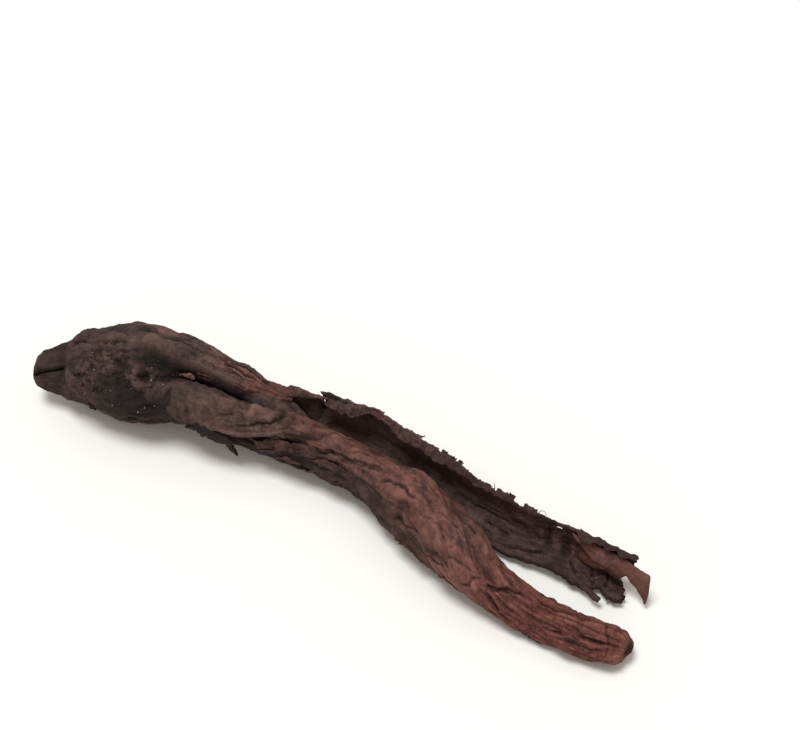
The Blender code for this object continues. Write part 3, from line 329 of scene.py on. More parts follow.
# Bumps and dents: place along and round the body, radius and height
CROWN_BUMPS = (
    (3.1, 60, 2.4, 1.05), (1, 165, 1.5, 0.4), (26.2, 129, 1.3, 0.9), (27.6, 119, 1.3, 1),
    (29.5, 122, 1.2, 0.8), (26.8, 141, 1.4, 1), (28.8, 148, 1.5, 0.9), (28.3, 132, 1.1, -1.2),
    (24.4, 144, 2.2, -1.5), (22, 150, 1.4, -0.7), (27.2, 90, 4, 0.5), (12.4, 150, 2.2, 0.4),
    (12.8, 172, 2.4, 0.4), (23, 168, 2.6, 0.5), (17.4, 124, 2.2, 0.5), (20.5, 112, 2.2, 0.5),
    (18.2, 146, 1.8, 0.5), (25.6, 118, 1.4, 0.5), (31.5, 146, 1.8, 0.5),
)
RIDGE_BUMPS = (
    (43, 150, 1.2, 0.5), (36.5, 84, 1.2, 0.4),
)
ROLL_BUMPS = (
    (22.6, 70, 1.5, 0.7), (21.4, 98, 1.2, 0.6), (20.6, 80, 1, -0.6), (24.6, 82, 1.2, 0.5),
    (26, 104, 1.6, 0.5),
)
CORD_BUMPS = (
    (49, 134, 4, 0.5), (57.5, 104, 4, 0.4), (30, 84, 3, 0.4), (79.5, 140, 3, 0.4), (96.5, 96, 2.4, 0.3),
    (101.8, 120, 1.6, -0.7), (101, 60, 1.8, 0.5), (101.4, 170, 1.6, 0.5),
)

# Layers of bark under the roll's edge, on the cord: half width, how far the free edge stands off and the path
CORD_LAYERS = (
    (1, 1, (10.5, 168), (13.5, 170), (18, 154), (23, 143)),
    (0.9, 0.8, (13.5, 184), (20, 166), (27, 132), (30.5, 114)),
    (0.7, 0.6, (19, 124), (22, 115), (26, 108)),
    (1.2, 0.6, (17.5, 192), (21, 180), (24.5, 178)),
    (0.8, 0.5, (26, 160), (30, 152), (35, 150)),
    (0.9, 0.5, (24, 200), (29, 192), (34, 190)),
)
# The same for flakes along the trough's rim, on its outside
RIM_FLAKES = (
    (0.8, 0.9, (19, 0.9), (21.5, 0.93), (23.5, 0.94)),
    (0.7, 0.7, (23.8, 0.92), (26.6, 0.95)),
    (0.6, 0.6, (28, 0.92), (30.4, 0.94)),
    (0.7, 0.6, (31.6, 0.92), (34.6, 0.95)),
    (0.9, 1.3, (35.4, 0.93), (37, 0.97)),
    (0.7, 0.6, (38.4, 0.92), (41.2, 0.95)),
    (0.6, 0.7, (42.6, 0.92), (45, 0.95)),
    (0.6, 0.6, (47, 0.92), (50, 0.95)),
    (0.5, 0.6, (52.4, 0.92), (54.6, 0.95)),
    (0.6, 0.8, (57, 0.93), (59.4, 0.96)),
    (0.6, 0.7, (64, 0.93), (66.6, 0.96)),
)
# Placed flakes: name, body, table, thickness, number after SEED, and redness, darkness and paleness
PLACED_FLAKES = (
    ("cord_layers", "cord", CORD_LAYERS, 0.35, 210, (0.4, 0.1, 0.1)),
    ("rim_flakes", "trough", RIM_FLAKES, 0.3, 240, (0.2, 0.2, 0.1)),
)
# Scattered flakes: name, body, how many, their places along and across it, lengths, how far they stand off,
# their seed, their redness before and beyond RED_END, and their darkness
SCATTERED_FLAKES = (
    ("cord_flakes", "cord", 40, (18, 98), (0, 360), (2.5, 6.5), (0.12, 0.4), 300, (0.3, 0.8), 0.1),
    ("crown_flakes", "crown", 30, (12, 48), (185, 420), (1.2, 3.4), (0.15, 0.5), 400, (0.1, 0.1), 0.2),
    ("trough_flakes", "trough", 46, (8, 86), (0.08, 0.9), (2.0, 7.0), (0.15, 0.5), 500, (0.4, 0.4), 0.2),
    ("rim_teeth", "trough", 30, (19, 70), (0.90, 0.95), (0.8, 2.2), (0.4, 0.9), 600, (0.3, 0.3), 0.3),
)
RED_END = 70.0
LOOSE_THICKNESS = 0.3
# How far the rooted edge of a flake is sunk in the bark
FLAKE_SUNK = 0.35
# How many crumbs and grains are drawn
CRUMBS_DRAWN = 60
BRIGHT_CRUMBS = 16
SAND_GRAINS = 18
# Bright grains on the tan flake: place and size
BRIGHT_GRAINS = (
    ((-35.6, 3.9, 16.3), 0.3),
    ((-35, 3.7, 16.2), 0.22),
    ((-36.3, 3.8, 16.2), 0.2),
    ((-34.7, 3.6, 15.9), 0.25),
)
# Hairs and splinters along the trough's rim: path, thickness, and redness, darkness and paleness
FIBRES = (
    (((11.0, 11.2, 12.9), (10.6, 11.4, 13.8), (9.7, 11.6, 14.8)), 0.6, (0.1, 0.2, 0.0)),
    (((33.4, 7.0, 13.0), (33.3, 7.2, 14.0), (33.0, 7.3, 15.2)), 0.22, (0.1, 0.2, 0.0)),
    (((43.6, 5.6, 12.4), (43.9, 5.9, 13.4), (44.6, 6.0, 13.7), (45.2, 5.8, 13.2), (45.4, 5.5, 12.3)), 0.2,
     (0.6, 0.1, 0.0)),
    (((40.4, 6.0, 12.2), (40.6, 6.2, 13.0), (41.0, 6.4, 13.6)), 0.35, (0.1, 0.2, 0.0)),
    (((53.0, 5.0, 12.0), (53.2, 5.4, 12.9), (52.7, 5.6, 13.6)), 0.3, (0.1, 0.2, 0.0)),
)

# How the fibres' noise is stretched along them
STREAK_STRETCH = (0.25, 1.0, 1.0)
# Colours of the bark and the sand, from the dark end of their noise to its light end
GREY_BARK = (
    (0.35, (0.017, 0.0105, 0.0095)),
    (0.455, (0.040, 0.0245, 0.0220)),
    (0.545, (0.073, 0.0450, 0.0405)),
    (0.67, (0.128, 0.0830, 0.0750)),
)
RED_BARK = (
    (0.35, (0.032, 0.010, 0.008)),
    (0.455, (0.074, 0.026, 0.020)),
    (0.545, (0.134, 0.048, 0.037)),
    (0.67, (0.215, 0.090, 0.070)),
)
SAND = ((0.3, (0.26, 0.22, 0.19)), (0.7, (0.52, 0.47, 0.41)))
# What darkness and paleness blend towards: the bark's own dark and pale colours, and painted shade and
# painted light
BLACK_BARK = (0.015, 0.0115, 0.0115)
PALE_BARK = (0.200, 0.122, 0.102)

# The floor and the light, in metres and watts
FLOOR_SIZE = 6.0
FLOOR_LEVEL = -0.0001
FLOOR_COLOUR = (0.88, 0.875, 0.865, 1.0)
LAMP_PLACE = (-0.55, -0.20, 3.0)
LAMP_SIZE = 1.3
LAMP_WATTS = 66.0
LAMP_COLOUR = (0.955, 1.0, 1.0)
ROOM_COLOUR = (1.0, 0.905, 0.83, 1.0)
ROOM_STRENGTH = 0.60

# Camera: the point that it looks at and its distance in mm, its elevation and azimuth in degrees, and its
# sensor, lens and nearest distance
LOOK_AT = (-3.0, 38.0, 0.0)
CAMERA_DISTANCE = 380.0
CAMERA_ELEVATION = 50.0
CAMERA_AZIMUTH = 26.0
SENSOR = 36.0
LENS = 76.0
CLIP_START = 0.01


def lattice_directions(cell, seed):
    """One of twelve edge directions for each lattice corner, always the same for the same corner and seed."""
    steps = itertools.product((-1, 0, 1), repeat=3)
    edges = np.array([d for d in steps if sum(map(abs, d)) == 2])
    mixed = (cell[:, 0] * 73856093) ^ (cell[:, 1] * 19349663) ^ (cell[:, 2] * 83492791)
    for _ in range(2):
        mixed = ((mixed ^ (mixed >> 9)) * 1103515245 + 12345 + seed * 7919) & 0x7FFFFFFF
    return edges[(mixed >> 8) % len(edges)]


def noise(points, seed):
    """Smooth random field, about -1 to 1, at an array of points."""
    cell = np.floor(points).astype(np.int64)
    inside = points - cell
    fade = inside**3 * (inside * (inside * 6 - 15) + 10)
    total = np.zeros(len(points))
    for corner in itertools.product((0, 1), repeat=3):
        corner = np.array(corner)
        weight = np.prod(np.where(corner, fade, 1 - fade), axis=1)
        slope = lattice_directions(cell + corner, seed)
        total += weight * np.sum(slope * (inside - corner), axis=1)
    return total


def cloud(points, octaves, seed):
    """Noise with finer and fainter copies of itself added."""
    return sum(noise(points * 2**i, seed + 31 * i) / 2**i for i in range(octaves))


def along_line(s, pitch, seed):
    """Random field along a line, with bumps about pitch apart."""
    return noise(np.stack([s / pitch, s * 0, s * 0], axis=1), seed)


def waves(line, seed, *parts):
    """The sum of random fields along a line. Each part is its height, its pitch and its number after seed."""
    return sum(height * along_line(line, pitch, seed + k) for height, pitch, k in parts)


def near(value, middle, width):
    """A bump of height 1 round middle."""
    return np.exp(-(((value - middle) / width) ** 2))


def rise(value, start, width):
    """0 before start, 1 from start + width on."""
    t = np.clip((value - start) / width, 0, 1)
    return t * t * (3 - 2 * t)


def mix(first, second, share):
    return first * (1 - share) + second * share


def groove(value, width):
    """1 along the lines where value is 0, falling to 0 at width from them."""
    return np.clip(1 - np.abs(value) / width, 0, 1)


def angle_near(angle, degrees, width):
    """A bump of height 1 round an angle, with its width in degrees."""
    off = (angle - np.radians(degrees) + math.pi) % (2 * math.pi) - math.pi
    return np.exp(-((off / math.radians(width)) ** 2))


def unit(vectors):
    """The same vectors, each 1 long."""
    return vectors / np.linalg.norm(vectors, axis=-1, keepdims=True)


def smooth_rows(rows, count, ease=0.0):
    """A table's columns read off a smooth curve through its rows at count places, and the distance to each.
    The curve never swings past a row, and ease crowds the places at the ends."""
    rows = np.array(rows)
    step = np.linalg.norm(np.diff(rows[:, :3], axis=0), axis=1)
    place = np.concatenate([[0], np.cumsum(step)])
    secant = np.diff(rows, axis=0) / step[:, None]
    total, product = secant[:-1] + secant[1:], secant[:-1] * secant[1:]
    inner = np.where(product > 0, 2 * product / np.where(total == 0, 1, total), 0)
    slope = np.concatenate([secant[:1], inner, secant[-1:]])
    even = np.linspace(0, 1, count)
    wanted = place[-1] * (even - ease * np.sin(2 * math.pi * even) / (2 * math.pi))
    k = np.clip(np.searchsorted(place, wanted) - 1, 0, len(place) - 2)
    gap = (place[k + 1] - place[k])[:, None]
    t = (wanted - place[k])[:, None] / gap
    ends = (1 + 2 * t) * (1 - t) ** 2 * rows[k] + t * t * (3 - 2 * t) * rows[k + 1]
    bends = t * (1 - t) ** 2 * slope[k] - t * t * (1 - t) * slope[k + 1]
    return wanted, ends + gap * bends


def section_axes(centres):
    """For each point of a centreline, the directions to the back and up across it."""
    along = unit(np.gradient(centres, axis=0))
    back = unit(np.cross([0, 0, 1], along))
    return back, np.cross(along, back)


def all_round(count):
    """Angles in radians, evenly round a ring."""
    return np.linspace(0, 2 * math.pi, count, endpoint=False)


def lobes(angle, strands):
    """The outline of round strands side by side, as a share of the radius. Each strand is its angle in
    degrees, its distance from the middle and its radius."""
    found = np.full(len(angle), 0.3)
    for where, away, radius in strands:
        off = angle - math.radians(where)
        across = np.maximum(radius**2 - (away * np.sin(off)) ** 2, 1e-4)
        found = np.maximum(found, away * np.cos(off) + np.sqrt(across))
    return found


def lumps(s, angle, per_turn, per_mm, seed, octaves=2):
    """Random lumps along a strand's fibres. per_turn and per_mm set how fine they are round and along it."""
    spots = np.stack([np.cos(angle) * per_turn, np.sin(angle) * per_turn, s * per_mm], axis=1)
    return cloud(spots, octaves, SEED + seed)


def furrows(s, angle, per_turn, per_mm, seed, width):
    """Furrows along a strand's fibres, 1 in their middle and 0 between them."""
    return groove(lumps(s, angle, per_turn, per_mm, seed, 1), width)


def round_skin(s, angle, radius):
    """Noise coordinates in mm, so that lumps are as long as they are wide."""
    return np.stack([s, np.cos(angle) * radius, np.sin(angle) * radius], axis=1)


def degree_size(radius):
    """The width in mm of one degree round a strand."""
    return np.maximum(radius, 1.0) * math.pi / 180


def offset(across, middle, wrap):
    """The distance from middle, the short way round where wrap isn't 0."""
    off = across - middle
    return (off + wrap / 2) % wrap - wrap / 2 if wrap else off


def cracks(s, across, scale, table, wrap):
    """The height in mm that a table of cracks adds at each place. scale is the mm in one unit of across."""
    total = np.zeros(len(s))
    for depth, width, step, *line in table:
        line = np.array(line)
        reach = CRACK_REACH + width
        pick = np.nonzero((s > line[:, 0].min() - reach) & (s < line[:, 0].max() + reach))[0]
        best = np.full(len(pick), 1e9)
        side, share = np.zeros(len(pick)), np.zeros(len(pick))
        for k, ((s0, a0), (s1, a1)) in enumerate(itertools.pairwise(line)):
            x, y = s[pick] - s0, offset(across[pick], a0, wrap) * scale[pick]
            dx, dy = s1 - s0, (a1 - a0) * scale[pick]
            t = np.clip((x * dx + y * dy) / (dx * dx + dy * dy), 0, 1)
            gap = np.hypot(x - t * dx, y - t * dy)
            better = gap < best
            side = np.where(better, np.sign(dx * y - dy * x), side)
            share = np.where(better, (k + t) / (len(line) - 1), share)
            best = np.minimum(best, gap)
        taper = np.clip(5 * np.minimum(share, 1 - share), 0, 1)
        cut = depth * rise(1 - best / width, 0, 1)
        lift = abs(step) * (side == math.copysign(1, step)) * np.exp(-best / STEP_WIDTH)
        total[pick] += taper * (lift - cut)
    return total


def marks(s, angle, radius, crack_table, bump_table, seed):
    """The height in mm of a strand's placed cracks and bumps, with wavy lines instead of straight ones."""
    scale = degree_size(radius)
    spots = round_skin(s, angle, radius)
    s = s + 0.5 * cloud(spots * 0.45, 2, SEED + seed)
    degrees = np.degrees(angle) + 0.5 * cloud(spots * 0.45, 2, SEED + seed + 1) / scale
    total = cracks(s, degrees, scale, crack_table, TURN)
    for where, middle, reach, height in bump_table:
        away = np.hypot(s - where, offset(degrees, middle, TURN) * scale)
        total += height * np.exp(-((away / reach) ** 2))
    return total


# Each strand's section, as a share of its radius


def crown_relief(s, angle):
    tip = lobes(angle, ((42, 0.38, 0.66), (222, 0.38, 0.66)))
    trunk = lobes(angle, ((70, 0.34, 0.69), (168, 0.34, 0.69), (250, 0.28, 0.75), (338, 0.32, 0.70)))
    share = mix(tip, trunk, rise(s, 7, 4)) + 0.06 * lumps(s, angle, 1.6, 0.12, 0)
    away = 1 - angle_near(angle, 128, 62)
    share += 0.07 * lumps(s, angle, 2.6, 0.20, 1)
    return share - 0.10 * rise(s, 12, 8) * away * furrows(s, angle, 2.4, 0.07, 2, 0.20)


def ridge_relief(s, angle):
    return 1 + 0.10 * lumps(s, angle, 1.3, 0.10, 6) - 0.08 * furrows(s, angle, 1.8, 0.07, 16, 0.25)


def roll_relief(s, angle):
    return 1 + 0.08 * lumps(s, angle, 1.2, 0.10, 7) + 0.05 * lumps(s, angle, 2.2, 0.20, 17)


def cord_relief(s, angle):
    share = lobes(angle, ((84, 0.28, 0.75), (196, 0.26, 0.77), (310, 0.28, 0.73)))
    share += 0.09 * lumps(s, angle, 1.3, 0.075, 3) + 0.09 * lumps(s, angle, 2.2, 0.20, 4)
    return share - (0.04 + 0.05 * rise(s, 80, 12)) * furrows(s, angle, 2.6, 0.05, 5, 0.25)


# Each strand's fine skin, as a height in mm


def crumb_share(s, angle):
    """1 where the front of the crown is crumbled, 0 away from it."""
    degrees = np.degrees(angle)
    return rise(s, 10, 10) * (1 - rise(s, 29, 12)) * rise(degrees, 88, 26) * (1 - rise(degrees, 146, 34))


def crown_fine(s, angle, radius):
    """The crown's valleys and lumps too, which the solid shares."""
    spots = round_skin(s, angle, radius)
    crumb = crumb_share(s, angle)
    height = cracks(s, np.degrees(angle), degree_size(radius), CROWN_VALLEYS, TURN)
    height += 0.30 * cloud(spots * 0.30, 2, SEED + 72) + 0.75 * crumb * cloud(spots * 0.36, 2, SEED + 73)
    broken = sum(np.abs(noise(spots * 0.5 * 2**k, SEED + 41 + k)) / 1.7**k - 0.2 for k in range(4))
    height += 0.13 * cloud(spots * 0.9, 4, SEED + 40) + 0.75 * crumb * broken
    return height - 0.12 * (1 - crumb) * furrows(s, angle, 5.0, 0.10, 43, 0.14)


def ridge_fine(s, angle, radius):
    height = 0.11 * cloud(round_skin(s, angle, radius) * 0.8, 4, SEED + 44)
    height += 0.10 * lumps(s, angle, 3.2, 0.10, 45, 1)
    return height - 0.10 * furrows(s, angle, 4.0, 0.07, 46, 0.12)


def roll_fine(s, angle, radius):
    spots = round_skin(s, angle, radius)
    fold = s * 3.2 + 2.0 * np.sin(angle + 0.4) + 2.5 * noise(spots * 0.2, SEED + 47)
    height = 0.07 * np.sin(fold) * near(s, 8.0, 6.0) + 0.16 * cloud(spots * 0.6, 4, SEED + 48)
    height += 0.12 * lumps(s, angle, 2.8, 0.09, 49, 1)
    return height - 0.10 * furrows(s, angle, 3.4, 0.08, 50, 0.10)


def cord_fine(s, angle, radius):
    tip = rise(s, 64, 16)
    height = (0.16 + 0.10 * tip) * lumps(s, angle, 3.0, 0.11, 51)
    height += 0.26 * cloud(round_skin(s, angle, radius) * 0.34, 4, SEED + 52)
    patch = rise(lumps(s, angle, 1.2, 0.07, 53, 1), -0.1, 0.5)
    height -= (0.06 + 0.14 * tip) * patch * furrows(s, angle, 3.0, 0.075, 54, 0.18)
    return height - 0.03 * furrows(s, angle, 6.0, 0.12, 55, 0.15)


def cord_turn(s):
    """How far the cord has twisted at s, in radians."""
    return math.radians(95) * rise(s, 52, 34) + 0.005 * s


def no_turn(s):
    return s * 0


# Each strand's redness, darkness and paleness, with painted shade where its sides are shaded and painted
# light where they are lit


def crown_paint(s, angle):
    # Painted shade: the underside, the dented pit, the low front face, the band under the upper strand and
    # the knob's dented middle are darker.
    shaded_underside = angle_near(angle, 235, 40) * rise(s, 34, 12)
    pit = near(s, 24, 5) * angle_near(angle, 144, 16)
    low = angle_near(angle, 172, 24) * rise(s, 16, 10)
    band = rise(s, 22, 6) * angle_near(angle, 114, 13)
    # Painted light: the lit patches and the top are less dark, and the lit patch on top is paler.
    lit = near(s, 19, 6) * angle_near(angle, 112, 16) + 0.5 * near(s, 28, 7) * angle_near(angle, 84, 12)
    lit_top = rise(s, 28, 12) * angle_near(angle, 70, 36)
    dark = 0.46 + 0.30 * pit + 0.56 * low * (1 - 0.7 * rise(s, 30, 10)) + 0.55 * band + 0.4 * shaded_underside
    dark = dark - 0.34 * lit - 0.3 * lit_top + 0.16 * (1 - rise(s, 6, 6))
    knob = near(s, 28.4, 0.9) * angle_near(angle, 133, 5) - near(s, 26.6, 2.2) * angle_near(angle, 130, 12)
    dark = np.clip(dark + 0.5 * knob, 0, 0.96)
    return 0.12 + 0.1 * angle_near(angle, 172, 24), dark, 0.3 * near(s, 27, 6) * angle_near(angle, 88, 10)


def ridge_paint(s, angle):
    # Painted shade on the strand's lower side along the cleft.
    cleft_shade = angle_near(angle, 200, 34) * near(s, 14, 14)
    dark = np.clip(0.32 * (1 - rise(s, 8, 18)) + 0.5 * cleft_shade, 0, 0.9)
    return 0.2 + 0.5 * rise(s, 34, 14), dark, 0.45 * near(s, 22, 16)


def roll_paint(s, angle):
    # Painted shade on the roll's underside.
    dark = np.clip(0.08 + 0.6 * angle_near(angle, 225, 30) + 0.48 * (1 - rise(s, 3, 14)), 0, 1)
    # The pinch is pink, its own colour, and paler, a painted highlight.
    pinch = near(s, 22.2, 1.8) * angle_near(angle, 80, 26)
    return 0.22 + 0.40 * rise(s, 24, 14) + 0.5 * pinch, dark, 0.3 * near(s, 12, 8) + 0.7 * pinch


def cord_paint(s, angle):
    turned = angle - cord_turn(s)
    # The top is redder, its own colour, and paler, a painted highlight.
    top = angle_near(turned, 84, 42) * near(s, 44, 24)
    # Painted shade under the cord's start, below the roll, and on its lower side.
    shaded_underside = (1 - rise(s, 18, 14)) * angle_near(angle, 190, 55)
    red = np.clip(0.30 + 0.7 * top + 1.1 * rise(s, 60, 20) + 0.3 * near(s, 60, 12), 0, 1.3)
    low = angle_near(turned, 170, 50) * (1 - rise(s, 62, 16))
    dark = np.clip(0.92 * shaded_underside + 0.52 * low + 0.14 * near(s, 40, 12), 0, 0.9)
    return red, dark, 0.35 * top + 0.35 * near(s, 66, 10)


# Each strand: its name, stations, rows and columns of points, its cracks, bumps and their number after SEED,
# and its section, fine skin, twist and paint
STRANDS = (
    ("crown", CROWN, (300, 260), (CROWN_CRACKS, CROWN_BUMPS, 70),
     crown_relief, crown_fine, no_turn, crown_paint),
    ("upper_strand", RIDGE, (300, 84), (RIDGE_CRACKS, RIDGE_BUMPS, 75),
     ridge_relief, ridge_fine, no_turn, ridge_paint),
    ("front_roll", ROLL, (220, 110), (ROLL_CRACKS, ROLL_BUMPS, 78),
     roll_relief, roll_fine, no_turn, roll_paint),
    ("cord", CORD, (460, 170), (CORD_CRACKS, CORD_BUMPS, 81),
     cord_relief, cord_fine, cord_turn, cord_paint),
)


def blurred(field, reach, closed):
    """A grid's mean over a window of reach cells each way, wrapped round its second axis if closed. An axis
    of fewer than four cells is left as it is."""
    for axis in (0, 1):
        count = field.shape[axis]
        if count < 4:
            continue
        mode = "wrap" if closed and axis == 1 else "edge"
        width = [(reach, reach) if k == axis else (0, 0) for k in (0, 1)]
        sums = np.cumsum(np.pad(field, width, mode=mode), axis=axis)
        sums = np.concatenate([np.take(sums, [0], axis=axis) * 0, sums], axis=axis)
        upper = np.take(sums, np.arange(count) + 2 * reach + 1, axis=axis)
        field = (upper - np.take(sums, np.arange(count), axis=axis)) / (2 * reach + 1)
    return field


def cavity(height, closed=False):
    """How far each point of a grid of heights lies below the mean of those round it, near and farther."""
    small, large = (blurred(height, reach, closed) - height for reach in PIT_REACH)
    return small + 0.5 * large


class Skin:
    """A body's surface in mm: a grid of points by distance along it and place across it, to lay flakes on."""

    def __init__(self, s, across, points):
        self.s, self.across, self.points = s, across, points

    def at(self, s, across):
        """The point at each place, and the direction out of the surface there."""
        across = across % TURN if self.across[-1] == TURN else across
        i = np.clip(np.searchsorted(self.s, s) - 1, 1, len(self.s) - 3)
        j = np.clip(np.searchsorted(self.across, across) - 1, 0, len(self.across) - 2)
        u = ((s - self.s[i]) / (self.s[i + 1] - self.s[i]))[:, None]
        v = ((across - self.across[j]) / (self.across[j + 1] - self.across[j]))[:, None]
        p = self.points
        point = mix(mix(p[i, j], p[i + 1, j], u), mix(p[i, j + 1], p[i + 1, j + 1], u), v)
        step = max(1, len(self.across) // 40)
        aside = p[i, np.minimum(j + step, len(self.across) - 1)] - p[i, np.maximum(j - step, 0)]
        along = p[np.minimum(i + 4, len(self.s) - 1), j] - p[np.maximum(i - 4, 0), j]
        return point, unit(np.cross(aside, along))


def mesh_object(name, points, faces, values):
    """A smooth-shaded mesh object from points in mm, faces of four corners and values. A face whose last
    corner is repeated is a triangle."""
    mesh = bpy.data.meshes.new(name)
    size = np.where(faces[:, 2] == faces[:, 3], 3, 4)
    corners = faces[np.arange(4)[None, :] < size[:, None]]
    mesh.vertices.add(len(points))
    flat = points.copy()
    flat[:, 2] = np.maximum(flat[:, 2], 0.0)
    mesh.vertices.foreach_set("co", (flat * MM).astype(np.float32).ravel())
    mesh.loops.add(len(corners))
    mesh.loops.foreach_set("vertex_index", corners.astype(np.int32))
    mesh.polygons.add(len(faces))
    starts = np.concatenate([[0], np.cumsum(size)[:-1]]).astype(np.int32)
    mesh.polygons.foreach_set("loop_start", starts)
    mesh.update(calc_edges=True)
    mesh.validate()
    for key, value in values.items():
        kind, slot = ("FLOAT_VECTOR", "vector") if value.ndim == 2 else ("FLOAT", "value")
        layer = mesh.attributes.new(key, kind, "POINT")
        layer.data.foreach_set(slot, value.astype(np.float32).ravel())
    mesh.shade_smooth()
    made = bpy.data.objects.new(name, mesh)
    bpy.context.scene.collection.objects.link(made)
    return made


def tube_part(points, values):
    """Points, faces and values of a stack of rings, closed at each end by a fan."""
    count, sides, _ = points.shape
    i, j = (a.ravel() for a in np.meshgrid(np.arange(count - 1), np.arange(sides), indexing="ij"))
    a, b = i * sides + j, i * sides + (j + 1) % sides
    walls = np.stack([a, b, b + sides, a + sides], axis=1)
    j = np.arange(sides)
    k = (j + 1) % sides
    start, end, last = count * sides, count * sides + 1, (count - 1) * sides
    first_cap = np.stack([j * 0 + start, k, j, j], axis=1)
    last_cap = np.stack([j * 0 + end, last + j, last + k, last + k], axis=1)
    flat = np.concatenate([points.reshape(-1, 3), [points[0].mean(axis=0), points[-1].mean(axis=0)]])
    padded = {key: np.concatenate([v, v[:1], v[-1:]]) for key, v in values.items()}
    return flat, np.concatenate([walls, first_cap, last_cap]), padded


def slab_part(outer, inner, values, keep=None):
    """Points, faces and values of a curved plate between two grids of points, closed round its edge and its
    holes. keep says which cells of the grid it has."""
    rows, columns, _ = outer.shape
    size = rows * columns
    keep = np.ones((rows - 1, columns - 1), bool) if keep is None else keep
    index = np.arange(size).reshape(rows, columns)
    a, b, c, d = (g[keep] for g in (index[:-1, :-1], index[:-1, 1:], index[1:, 1:], index[1:, :-1]))
    top = np.stack([a, b, c, d], axis=-1)
    bottom = top[:, ::-1] + size
    first, second = np.concatenate([a, b, c, d]), np.concatenate([b, c, d, a])
    alone = ~np.isin(first * size + second, second * size + first)
    first, second = first[alone], second[alone]
    sides = np.stack([second, first, first + size, second + size], axis=1)
    used, renamed = np.unique(np.concatenate([top, bottom, sides]), return_inverse=True)
    points = np.concatenate([outer.reshape(-1, 3), inner.reshape(-1, 3)])
    return points[used], renamed.reshape(-1, 4), {key: v[used] for key, v in values.items()}


def join(parts):
    """One set of points, faces and values from several."""
    starts = np.cumsum([0] + [len(points) for points, _, _ in parts[:-1]])
    points = np.concatenate([p for p, _, _ in parts])
    faces = np.concatenate([f + start for (_, f, _), start in zip(parts, starts)])
    return points, faces, {key: np.concatenate([v[key] for _, _, v in parts]) for key in parts[0][2]}


def painted(count, paint):
    """The same redness, darkness and paleness for all of a piece."""
    return {key: np.full(count, value) for key, value in zip(PAINTS, paint)}


def strand_part(rows, grid, marked, relief, fine, turn, paint):
    """A strand's points, faces and values, and its Skin."""
    rings, sides = grid
    s, station = smooth_rows(rows, rings, ease=0.1)
    back, up = (axis[:, None] for axis in section_axes(station[:, :3]))
    s_all, angle = (a.ravel() for a in np.meshgrid(s, all_round(sides), indexing="ij"))
    turned = angle - turn(s_all)
    mean = (station[:, 3] + station[:, 4]) / 2
    radius = np.repeat(mean, sides)
    share = relief(s_all, turned).reshape(rings, sides)
    raised = marks(s_all, angle, radius, *marked) + fine(s_all, turned, radius)
    raised = (np.clip(radius / FULL_MARKS, 0, 1) * raised).reshape(rings, sides)
    cos, sin = (f(angle).reshape(rings, sides) for f in (np.cos, np.sin))
    wide = (cos * (station[:, 3:4] * share + raised))[:, :, None]
    tall = (sin * (station[:, 4:5] * share + raised))[:, :, None]
    points = station[:, None, :3] + back * wide + up * tall
    values = {
        "grain": round_skin(s_all, turned, radius),
        "pit": cavity(share * mean[:, None] + raised, True).ravel(),
        **dict(zip(PAINTS, paint(s_all, angle))),
    }
    closed = np.concatenate([points, points[:, :1]], axis=1)
    return tube_part(points, values), Skin(s, np.linspace(0, TURN, sides + 1), closed)


def trough_line(columns):
    """How far each column is up the trough's wall, from 0 to 1, and along its lip, from 0 to 1."""
    wall = round(columns * WALL_COLUMNS)
    up = np.concatenate([np.linspace(0, 1, wall) ** 0.9, np.ones(columns - wall)])
    return up, np.concatenate([np.zeros(wall), np.linspace(0, 1, columns - wall + 1)[1:]])


def notch(s, place, reach, depth):
    return depth * near(s, place, reach)


